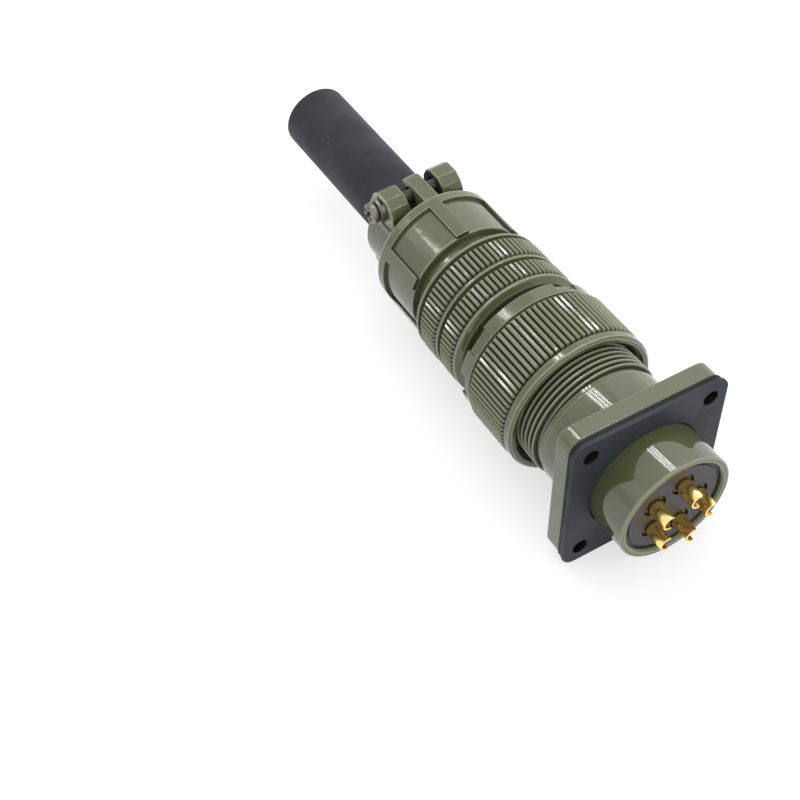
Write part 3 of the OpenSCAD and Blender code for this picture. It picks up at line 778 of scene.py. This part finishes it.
def knurl_tooth(x0, x1, tip, teeth):
    """One roof-shaped tooth with half a groove on each side and sloping ends."""
    # Groove points are marked for painted shade and crest points for a painted highlight.
    across = [(-0.5, 0.0, -1.0), (-0.39, 0.42, -1.0), (-0.33, 0.73, 0.15), (-0.05, 1.0, 0.7)]
    across += [(-a, h, mark) for a, h, mark in across[::-1]]
    ends = [(0.0, 0.0), (0.55, 0.73), (0.85, 1.0)]
    stations = [(x0 + d, h) for d, h in ends] + [(x1 - d, h) for d, h in ends[::-1]]
    root = tip - GROOVE
    rows = []
    for x, limit in stations:
        row = []
        for a, h, mark in across:
            radius = root + (tip - root) * min(h, limit)
            row.append((round_axis(x, radius, a * TAU / teeth), mark if limit else -1.0))
        rows.append(row)
    bm = skinned(rows, ring=False, loop=False)
    for line in bm.edges:
        line.smooth = False
    return to_mesh(bm, "tooth")


def knurl(name, bands, tip, teeth, body, slot):
    """Straight knurls in one or more bands round the axis."""
    inputs = {"Copies": teeth, "Finish": FINISH[slot]}
    rings = [grown(knurl_tooth(x0, x1, tip, teeth), RING, inputs) for x0, x1 in bands]
    piece(name, rings, body, slot)


def groove_floor(tip):
    """The radius of the turned blank just under the grooves of a knurl."""
    return tip - GROOVE - 0.06


def bolt_holes():
    return [circle(a, b, BOLT_R, 32) for a in (-BOLT_AT, BOLT_AT) for b in (-BOLT_AT, BOLT_AT)]


def receptacle():
    """The painted shell with its flange and key."""
    rear, front = FLANGE_X
    foot = ((-0.6, 1.01), (0.0, 0.86), (0.08, 0.46), (0.3, 0.16))
    barrel = turned(
        [
            (REAR_X, REAR_R, 0.8),
            (rear + 0.4, REAR_R, 0),
            *[(front + x, RELIEF_R + rise, 0) for x, rise in foot],
            (front + 0.75, RELIEF_R, 0.3),
            (RELIEF_END, RELIEF_R, 0.3),
            (RELIEF_END + 0.2, THREAD_ROOT - 0.04, 0.15),
            (FRONT_X - 0.49, THREAD_ROOT - 0.04, 0.1),
            (FRONT_X, THREAD_ROOT - 0.44, 0.2),
            (FRONT_X, FRONT_BORE, 0.2),
            (WEB_X[1], FRONT_BORE, 0),
            (WEB_X[1], WEB_BORE, 0),
            (WEB_X[0], WEB_BORE, 0),
            (WEB_X[0], REAR_BORE, 0),
            (REAR_X + 0.5, REAR_BORE, 0.1),
            (REAR_X, REAR_BORE + 0.45, 0.35),
        ]
    )
    flange = plate(rounded_square(FLANGE_W), bolt_holes(), rear, front, 0.4, facing_panel, 3)
    low = (WEB_X[1] - 0.2, -KEY_HALF, FRONT_BORE - 0.84)
    high = (FRONT_X - 1.59, KEY_HALF, FRONT_BORE + 0.16)
    key = block(low, high, 0.2, along)
    meshes = [barrel, marked(flange, "cast", 0.2), key]
    piece("receptacle_body", meshes, "receptacle", "shell_paint", ["receptacle_shell"])


def gasket():
    """A rubber pad whose edge is undercut next to the flange."""
    holes = bolt_holes() + [circle(0, 0, REAR_R + 0.05, 96)]
    pad = plate(rounded_square(GASKET_W), holes, 0.0, 0.45 * GASKET_T, 0.2, facing_panel, 3)
    neck = plate(rounded_square(GASKET_W - 0.4), holes, 0.35 * GASKET_T, GASKET_T, 0.1, facing_panel, 1)
    # The undercut neck is marked for painted shade, which makes a dark line between pad and flange.
    meshes = [pad, marked(neck, "edge", -1.0)]
    piece("gasket_pad", meshes, "receptacle", "gasket_rubber", ["flange_gasket"])


def coupling_thread():
    """The thread's ridge, drawn as an outline and wound round the barrel."""
    half = [(-0.08, 0.56, 0), (0.0, 0.54, 0), (0.42 * THREAD_DEPTH, 0.4, 0), (THREAD_DEPTH, 0.2, 0.14)]
    outline = soften([(h, -w, r) for h, w, r in half] + half[::-1], 3)
    bm = bmesh.new()
    edge = bm.verts.layers.float.new("edge")
    spots = []
    for spot, _ in outline:
        point = bm.verts.new(Vector((spot.x, spot.y, 0)) * MM)
        height = spot.x / THREAD_DEPTH
        # Crest points are marked for a painted highlight and the lower flanks for painted shade.
        point[edge] = 0.7 if height > 0.8 else -0.95 if height < 0.5 else 0.0
        spots.append(point)
    for near, far in zip(spots, spots[1:] + spots[:1]):
        bm.edges.new((near, far))
    inputs = {
        "Turns": THREAD_TURNS,
        "Pitch": PITCH * MM,
        "Root radius": THREAD_ROOT * MM,
        "Start": THREAD_X * MM,
        "Fade": 0.04,
        "Steps a turn": 96,
        "Finish": FINISH["shell_paint"],
    }
    ridge = grown(to_mesh(bm, "ridge"), HELIX, inputs)
    piece("coupling_thread", [ridge], "receptacle", "shell_paint")


def solder_cup():
    """A cup with a solder well, cut open on one side."""
    floor = 0.3 * CUP_R
    lip = 0.09
    corner = math.acos(floor / CUP_R)
    beside = corner + 0.07
    half = [corner * k / 7 for k in range(8)] + [beside + (math.pi - beside) * k / 9 for k in range(10)]
    base = INSERT_FACE + 1.8
    columns = []
    for turn in [-t for t in half[-2:0:-1]] + half:
        mouth = CUP_TIP
        if abs(turn) <= corner:
            off = CUP_R * math.cos(turn) - floor - CUP_R
            mouth = CUP_TIP + SCOOP_LEN + math.sqrt(max(CUP_R**2 - off**2, 0.0))
        outer = [(base, CUP_R, 0, 0), (mouth + 0.22, CUP_R, 0, 0), (mouth + lip, CUP_R, 0.5, 0)]
        rim = [(mouth, CUP_R - lip, 1, 0), (mouth, WELL_R + lip, 1, 0.3)]
        # The bottom of the well is marked for painted shade.
        well = [(mouth + lip, WELL_R, 0.4, 0.8), (mouth + 0.25, WELL_R, 0, 1), (base - 0.2, WELL_R, -1, 1)]
        columns.append(
            [(round_axis(x, radius, turn + SCOOP_TURN), *marks) for x, radius, *marks in outer + rim + well]
        )
    rows = list(zip(*columns))
    return to_mesh(closed(skinned(rows, ring=False, capped=True, marks=("edge", "well"))), "cup")


def contact_shank():
    """The pin of a contact, its shoulder between the inserts, and the collar round the cup, darkened with
    painted shade.
    """
    foot = COLLAR_X[1] + 0.1
    shank = turned(
        [
            (foot, CUP_R - 0.2, 0),
            (COLLAR_X[0], CUP_R - 0.2, 0),
            (COLLAR_X[0], SHOULDER_R, 0.1),
            (COLLAR_X[1], SHOULDER_R, 0.1),
            (COLLAR_X[1], CUP_R - 0.1, 0),
            (WEB_X[0], CUP_R - 0.1, 0),
            (WEB_X[0], SHOULDER_R, 0.1),
            (WEB_X[1], SHOULDER_R, 0.1),
            (WEB_X[1], CUP_R, 0),
            (PIN_FACE, CUP_R, 0.1),
            (PIN_FACE, PIN_R, 0),
            (PIN_TIP - 0.8, PIN_R, 0.3),
            (PIN_TIP, PIN_R - 0.5, 0.3),
            (PIN_TIP, CORE, 0),
            (foot, CORE, 0),
        ],
        32,
    )
    # The collar is marked for painted shade.
    for point, mark in zip(shank.vertices, shank.attributes["edge"].data):
        if point.co.x < (COLLAR_X[1] + 0.05) * MM:
            mark.value = -1.0
    return shank


def pin_contacts():
    contact = joined("contact", [solder_cup(), contact_shank()])
    mesh = contact.data
    bpy.data.objects.remove(contact)
    inputs = {
        "Contacts": CONTACTS,
        "Circle radius": CONTACT_R * MM,
        "First turn": CONTACT_TURN,
        "Finish": FINISH["contact_gold"],
    }
    names = [f"contact_pin_{i + 1}" for i in range(CONTACTS)]
    piece("pin_contacts", [grown(mesh, LAYOUT, inputs)], "receptacle", "contact_gold", names)


def notched_outline():
    """The outline of the nut's rear skirt: pairs of square notches in a round rim."""
    apart = 360 / LUG_GROUPS
    pairs = [LUG_TURN + apart / 2 + apart * i for i in range(LUG_GROUPS)]
    notches = sorted((middle + side * NOTCH_TURN) % 360 for middle in pairs for side in (-1, 1))
    w = NOTCH_W / 2
    half = math.degrees(math.asin(w / LUG_R))
    top = math.sqrt(LUG_R**2 - w**2)
    corners = []
    for here, following in zip(notches, notches[1:] + [notches[0] + 360]):
        c, s = math.cos(math.radians(here)), math.sin(math.radians(here))
        for a, b in ((top, -w), (NOTCH_FLOOR, -w), (NOTCH_FLOOR, w), (top, w)):
            corners.append((a * c - b * s, a * s + b * c, 0.35))
        room = following - here - 2 * half
        steps = max(2, int(room / 3))
        for k in range(1, steps):
            t = math.radians(here + half + room * k / steps)
            corners.append((LUG_R * math.cos(t), LUG_R * math.sin(t), 0))
    return [spot for spot, _ in soften(corners, 3)]


def coupling_nut():
    """The nut's turned shell with its notched rear skirt, and its knurl."""
    start, end = NUT_X
    floor = groove_floor(NUT_TIP)
    shell = turned(
        [
            (start, NUT_LAND - 0.55, 0.2),
            (start + 0.55, NUT_LAND, 0.2),
            (NUT_KNURL[0] - 0.45, NUT_LAND, 0.14),
            (NUT_KNURL[0] + 0.05, floor, 0.1),
            (NUT_KNURL[1] + 0.15, floor, 0.1),
            (LUG_X, LUG_R, 0.1),
            (NUT_WEB_X[1], LUG_R, 0),
            (NUT_WEB_X[1], NUT_WEB_BORE, 0),
            (NUT_WEB_X[0], NUT_WEB_BORE, 0.1),
            (NUT_WEB_X[0], NUT_BORE, 0.1),
            (start + 0.9, NUT_BORE, 0.2),
            (start, NUT_BORE + 0.86, 0.2),
        ],
        168,
    )
    skirt = rimmed(notched_outline(), SKIRT_BORE, NUT_WEB_X[1] - 0.3, end, 0.28)
    piece("coupling_nut_shell", [shell, skirt], "coupling_nut", "nut_paint", ["coupling_nut"])
    knurl("coupling_nut_knurl", [NUT_KNURL], NUT_TIP, NUT_TEETH, "coupling_nut", "nut_paint")


def back_shell():
    """The back shell's turned bell, and its two knurled bands between plain lands."""
    start, end = BELL_X
    floor = groove_floor(BAND_TIP)
    lands = []
    for (x0, x1), first in ((FRONT_BAND, 0.15), (REAR_BAND, 0.18)):
        lands += [(x0 - 0.42, BAND_LAND, first), (x0 - 0.2, floor, 0.1)]
        lands += [(x1 + 0.2, floor, 0.1), (x1 + 0.42, BAND_LAND, 0.18)]
    bell = turned(
        [
            (start, BAND_LAND - 1.39, 0.3),
            (start + 0.95, BAND_LAND, 0.35),
            *lands,
            (BELL_END - 0.35, BAND_LAND, 0.3),
            (BELL_END, BAND_LAND - 0.54, 0.2),
            (BELL_END + 0.9, NECK_R, 0.5),
            (end, NECK_R, 0),
            (end, NECK_BORE, 0),
            (BELL_END, NECK_BORE, 0.3),
            (SPIGOT_END, CAVITY_R, 0),
            (SPIGOT_END, SPIGOT_SEAT, 0),
            (start, SPIGOT_SEAT, 0.25),
        ],
        160,
    )
    piece("back_shell_bell", [bell], "plug", "bell_paint", ["back_shell"])
    knurl("back_shell_knurl", [FRONT_BAND, REAR_BAND], BAND_TIP, BAND_TEETH, "plug", "bell_paint")


def panel_ribs():
    """The ribs left standing between the clamp's sunk panels."""

    def wrapped(x, arc, radius):
        return round_axis(x, radius, arc / PANEL_R)

    side = RIB_HALF * PANEL_R
    low = (CLAMP_X[0] + 0.05, -side, PANEL_R - 0.53)
    high = (PANEL_END + 0.8, side, CLAMP_R)
    rib = block(low, high, 0.14, wrapped, (1, 6, 6), PANEL_R + 0.4)
    first = math.pi / PANELS + PANEL_TURN
    return grown(rib, RING, {"Copies": PANELS, "First turn": first, "Finish": FINISH["clamp_paint"]})


def clamp_ear(flip):
    """One flat ear behind the clamp's rim, with the hole for its screw."""

    def place(x, u, v):
        return in_clamp(x, u * flip, v)

    root = CLAMP_X[1] - 1.5
    corners = [(root, SLEEVE_HOLE, 0), (EAR_END, SLEEVE_HOLE, 0.5)]
    corners += [(EAR_END, EAR_TOP, 4.0), (root, EAR_TOP, 0)]
    outline = [spot for spot, _ in soften(corners, 8)]
    hole = circle(SADDLE_X, SCREW_U, SCREW_HOLE, 28)
    return plate(outline, [hole], -EAR_HALF, EAR_HALF, 0.4, place)


def clamp():
    """The die-cast clamp body with its ribs and ears."""
    start, end = CLAMP_X
    body = turned(
        [
            (start, PANEL_R, 0.35),
            (PANEL_END, PANEL_R, 0.16),
            (PANEL_END, CLAMP_R, 0.16),
            (end, CLAMP_R, 0.7),
            (end, SLEEVE_HOLE, 0.3),
            (FOOT_END, SLEEVE_HOLE, 0),
            (FOOT_END, CLAMP_BORE, 0),
            (start, CLAMP_BORE, 0.25),
        ],
        168,
    )
    meshes = [body, panel_ribs(), clamp_ear(1), clamp_ear(-1)]
    piece("clamp_shell", meshes, "plug", "clamp_paint", ["clamp_body"])


def saddle_pad(side, place):
    """One faceted end of a saddle, rough on its outer face."""
    w = SADDLE_W / 2
    inner = [(-w, ARCH_HALF - 0.1, 0), (w, ARCH_HALF - 0.1, 0)]
    facets = [(w, SCREW_U, 0.4), (0.76 * w, SADDLE_TIP - 1.35, 0.4), (0.35 * w, SADDLE_TIP - 0.1, 0.4)]
    corners = inner + facets + [(-a, u, r) for a, u, r in facets[::-1]]
    outline = [Vector((SADDLE_X + spot.x, spot.y * side)) for spot, _ in soften(corners, 3)]
    hole = circle(SADDLE_X, SCREW_U * side, SCREW_HOLE, 28)
    pad = marked(plate(outline, [hole], *SADDLE_V, 0.55, place, 3), "cast", 0.03)
    outward = (place(0, 0, 1) - place(0, 0, 0)).normalized()
    cast, edge = pad.attributes["cast"].data, pad.attributes["edge"].data
    for i, point in enumerate(pad.vertices):
        v = point.co.dot(outward) / MM
        if v > SADDLE_V[1] - 0.4:
            cast[i].value = 1.0
        # The inner face beside the ear is marked with the dark hollow colour.
        if v < SADDLE_V[0] + 0.1:
            edge[i].value = -1.0
    return pad


def saddle_arch(place):
    """The smooth arch of a saddle over the sleeve."""
    ends = [(ARCH_HALF, 0.28), (ARCH_HALF - 0.06, 0.1), (ARCH_HALF - 0.2, 0.0), (ARCH_HALF - 0.5, 0.0)]
    middle = [(0.5 * k, 0.0) for k in range(-12, 13)]
    w = SADDLE_W / 2 + 0.04
    rows = []
    for u, drop in [(-u, drop) for u, drop in ends] + middle + ends[::-1]:
        top = max(math.sqrt(ARCH_R**2 - u**2), SADDLE_V[1] + 0.42) - drop
        low = max(math.sqrt(max(SADDLE_BORE**2 - u**2, 0)), SADDLE_V[0])
        section = soften([(-w, low, 0.25), (w, low, 0.25), (w, top, 0.6), (-w, top, 0.6)], 3)
        rows.append([(place(SADDLE_X + spot.x, u, spot.y), 0.8 if drop else mark) for spot, mark in section])
    return to_mesh(closed(skinned(rows, ring=False, capped=True)), "arch")


def saddle(name, flip):
    """A cast saddle: a smooth arch over the sleeve between two rough pads."""

    def place(x, u, v):
        return in_clamp(x, u * flip, v * flip)

    pads = [saddle_pad(side, place) for side in (1, -1)]
    piece(name + "_cast", [*pads, saddle_arch(place)], name, "saddle_paint", [name])


def carve(mesh, cutters):
    """Cuts shapes out of a mesh."""
    seed = laid("seed", mesh)
    tools = [laid("cutter", cutter) for cutter in cutters]
    for tool in tools:
        cut = seed.modifiers.new("cut", "BOOLEAN")
        cut.object = tool
        cut.solver = "EXACT"
    made = settled(seed)
    for gone in [seed, *tools]:
        bpy.data.objects.remove(gone)
    return made


def recess_wing(turn, seat, place):
    """One tapered slot of the cross recess, as a shape to cut with."""
    c, s = math.cos(turn), math.sin(turn)
    bm = bmesh.new()
    bmesh.ops.create_cube(bm, size=2.0)
    for point in bm.verts:
        upper = point.co.z > 0
        a = point.co.x * (0.72 if upper else 0.3) * HEAD_R
        b = point.co.y * (0.2 if upper else 0.12) * HEAD_R
        v = seat + HEAD_H + 0.3 if upper else seat + 0.25 * HEAD_H
        point.co = place(v, a * c - b * s, a * s + b * c)
    return to_mesh(closed(bm), "cutter")


def clamp_screw(name, body, flip):
    """A cross-recess pan-head screw through both saddles."""
    place = at_screw(flip)
    seat = SADDLE_V[1] + WASHER_T
    top = seat + HEAD_H
    tip = -SADDLE_V[1] - 0.6
    first, last, pitch = tip + 0.45, seat - 3.2, 0.5
    profile = [(tip, CORE, 0), (tip, 1.0, 0.12), (tip + 0.35, SCREW_R - 0.05, 0.1)]
    for k in range(math.ceil((last - first) / pitch)):
        v = first + k * pitch
        profile += [(v, SCREW_R, 0), (v + 0.12, SCREW_R, 0), (v + 0.31, SCREW_R - 0.25, 0)]
    profile += [
        (seat - 2.4, SCREW_R, 0),
        (seat, SCREW_R, 0),
        (seat, HEAD_R, 0.12),
        (seat + 0.5 * HEAD_H, HEAD_R, 0.25),
        (seat + 0.8 * HEAD_H, 0.9 * HEAD_R, 0.25),
        (top, 0.66 * HEAD_R, 0.25),
        (top, CORE, 0),
    ]
    wings = [recess_wing(math.radians(turn), seat, place) for turn in (38, 128)]
    made = carve(turned(profile, 40, place, 3), wings)
    crown = place(top, 0, 0)
    up = (crown - place(seat, 0, 0)).normalized()
    # Faces inside the cross recess are marked for painted shade.
    recess = made.attributes.new("recess", "FLOAT", "FACE")
    for face, mark in zip(made.polygons, recess.data):
        off = face.center - crown
        deep = -off.dot(up) / MM
        out = (off + up * deep * MM).length / MM
        mark.value = 1.0 if 0.03 < deep < HEAD_H and out < 0.7 * HEAD_R else 0.0
    piece(name + "_steel", [made], body, "screw_steel", [name])


def lock_washer(name, body, flip):
    """A coiled spring washer whose ends lie one over the other."""
    place = at_screw(flip)
    high = 0.42 * WASHER_T
    corners = ((WASHER_BORE, 0.0), (WASHER_R, 0.0), (WASHER_R, high), (WASHER_BORE, high))
    section = soften([(radius, v, 0.16) for radius, v in corners], 2)
    steps = 80
    rows = []
    for k in range(steps + 1):
        t = math.radians(120 + 600 * k / steps)
        base = SADDLE_V[1] + (WASHER_T - high) * k / steps
        rows.append(
            [(place(base + s.y, s.x * math.cos(t), s.x * math.sin(t)), mark) for s, mark in section]
        )
    mesh = to_mesh(closed(skinned(rows, ring=False, capped=True)), "coil")
    piece(name + "_spring", [mesh], body, "screw_steel", [name])


def cable_sleeve():
    """The rubber sleeve: a thin tube, pinched behind the saddles and a little out of round from there on."""
    start, end = SLEEVE_X
    saddle_end = SADDLE_X + SADDLE_W / 2
    pinch_x, pinch_len = saddle_end + 0.8, 2.2
    free_x = saddle_end + 2.3
    ring = soften(
        [
            (start, SLEEVE_BORE, 0),
            (start, NECK_R, 0.3),
            (FOOT_END, NECK_R, 0.3),
            (FOOT_END, SLEEVE_R, 0.2),
            (end, SLEEVE_R, 0.34),
            (end, SLEEVE_BORE, 0.34),
        ]
    )
    profile = []
    for (spot, mark), (after, _) in zip(ring, ring[1:] + ring[:1]):
        profile.append((spot, mark))
        steps = int((after - spot).length / 2)
        profile += [(spot.lerp(after, k / steps), 0.0) for k in range(1, steps)]
    steps = 96
    rows = []
    for s in range(steps):
        t = TAU * s / steps
        row = []
        for spot, mark in profile:
            free = max(0.0, (spot.x - free_x) / (end - free_x))
            pinch = math.exp(-(((spot.x - pinch_x) / pinch_len) ** 2))
            radius = spot.y * (1 + 0.014 * free * math.cos(2 * t + 0.7) + 0.004 * free * math.cos(3 * t))
            radius -= 0.1 * pinch * (0.5 + 0.5 * math.cos(2 * (t - CLAMP_TURN)))
            row.append((round_axis(spot.x, radius, t), mark))
        rows.append(row)
    mesh = to_mesh(closed(skinned(rows)), "tube")
    piece("cable_sleeve_tube", [mesh], "plug", "sleeve_rubber", ["cable_sleeve"])


def inner_nodes():
    """The CAD solids take the finish of their slot; those that no piece replaces are seen with it."""
    for part in frame["record"]["subparts"]:
        mesh = frame["nodes"][part["node"]].data
        mesh.materials.clear()
        mesh.materials.append(FINISH[part["material_slot"]])


def table():
    """A white table that keeps the connector's shadow."""
    bm = bmesh.new()
    bmesh.ops.create_grid(bm, x_segments=1, y_segments=1, size=8.0)
    for point in bm.verts:
        point.co.z = cad_box[0].z - 0.2 * MM
    made = laid("table", to_mesh(bm, "table"))
    top = Finish("table_white", Base_Color=(0.42, 0.42, 0.42, 1), Roughness=0.9, Specular_IOR_Level=0.1)
    path = top.node("ShaderNodeLightPath").outputs
    rays = [Term(top, path[f"Is {kind} Ray"]) for kind in ("Camera", "Glossy", "Transmission")]
    seen = (rays[0] + rays[1] + rays[2]).least(1.0)
    glow = top.node("ShaderNodeEmission", None, {0: (1, 1, 1, 1), 1: seen * 0.62})
    both = top.node("ShaderNodeAddShader", None, {0: top.shader.outputs[0], 1: glow.outputs[0]})
    top.fill(top.tree.nodes["Material Output"].inputs[0], both.outputs[0])
    made.data.materials.append(top.material)


def white_room():
    """White light from all round, a little stronger from above."""
    SCENE.world = bpy.data.worlds.new("room")
    SCENE.world.use_nodes = True
    room = Nodes(SCENE.world.node_tree)
    way = room.node("ShaderNodeTexCoord").outputs["Generated"]
    up = room.term("ShaderNodeSeparateXYZ", None, {0: way}, 2)
    back = room.tree.nodes["Background"]
    room.fill(back.inputs[0], (1, 1, 1, 1))
    room.fill(back.inputs[1], 0.9 + 0.2 * up.ramp(0.1, 0.9))


def lamp(name, start, end, width, watts):
    """A flat lamp whose long side runs from start to end and which faces the connector, in metres."""
    light = bpy.data.lights.new(name, "AREA")
    light.shape = "RECTANGLE"
    run = end - start
    light.size, light.size_y = run.length, width
    light.energy = watts
    middle = (start + end) / 2
    run.normalize()
    ray = middle - Vector((0.03, 0, 0))
    ray = (ray - run * ray.dot(run)).normalized()
    facing = Matrix((run, ray.cross(run), ray)).transposed().to_4x4()
    laid(name, light).matrix_world = Matrix.Translation(middle) @ facing


def tube_row(name, start, end, watts_per_metre):
    """Three thin lamps side by side, whose streaks show on the enamel."""
    start, end = Vector(start), Vector(end)
    aside = (end - start).cross((start + end) / 2).normalized()
    for k in range(3):
        shift = aside * 0.017 * (k - 1)
        lamp(f"{name}_{k + 1}", start + shift, end + shift, 0.005, watts_per_metre * (end - start).length)


def lamps():
    """Two soft panels, one tube in front, and tubes that bend over the connector from end to end."""

    def around(x, lift):
        turn = math.radians(lift)
        return Vector((x, 0.45 * math.cos(turn), 0.45 * math.sin(turn)))

    lamp("low_panel", around(0.05, 29), around(0.235, 29), 0.19, 0.035)
    lamp("high_panel", around(0.1, 170), around(0.5, 120), 0.6, 0.5)
    lamp("front_tube", Vector((-0.28, -0.36, 0.3)), Vector((-0.28, 0.02, 0.3)), 0.01, 0.24)
    tube_row("tube_1", (0.15, -0.22, 0.455), (0.325, 0.135, 0.455), 0.35)
    tube_row("tube_2", (0.335, 0.145, 0.443), (0.415, 0.274, 0.366), 0.35)
    tube_row("tube_3", (0.415, 0.274, 0.366), (0.5, 0.41, 0.285), 0.04)


def camera():
    """The photograph's view, given by the eye, the point it looks at beside the axis, and a small roll."""
    eye = Vector((-121.5615, 121.3536, 209.744)) * MM
    aim = Vector((40.1762, 29.5465, 0)) * MM
    roll = Quaternion((0, 0, 1), math.radians(-1.60495))
    data = bpy.data.cameras.new("camera")
    data.lens = 63.769
    data.sensor_width = 36
    turn = (aim - eye).to_track_quat("-Z", "Y") @ roll
    SCENE.camera = laid("camera", data)
    SCENE.camera.matrix_world = Matrix.Translation(eye) @ turn.to_matrix().to_4x4()
    SCENE.view_settings.view_transform = "Standard"


table()
white_room()
lamps()
camera()
receptacle()
gasket()
coupling_thread()
pin_contacts()
coupling_nut()
back_shell()
clamp()
for side, flip in (("a", 1), ("b", -1)):
    body = "saddle_" + side
    saddle(body, flip)
    clamp_screw("screw_" + side, body, flip)
    lock_washer("washer_" + side, body, flip)
cable_sleeve()
inner_nodes()
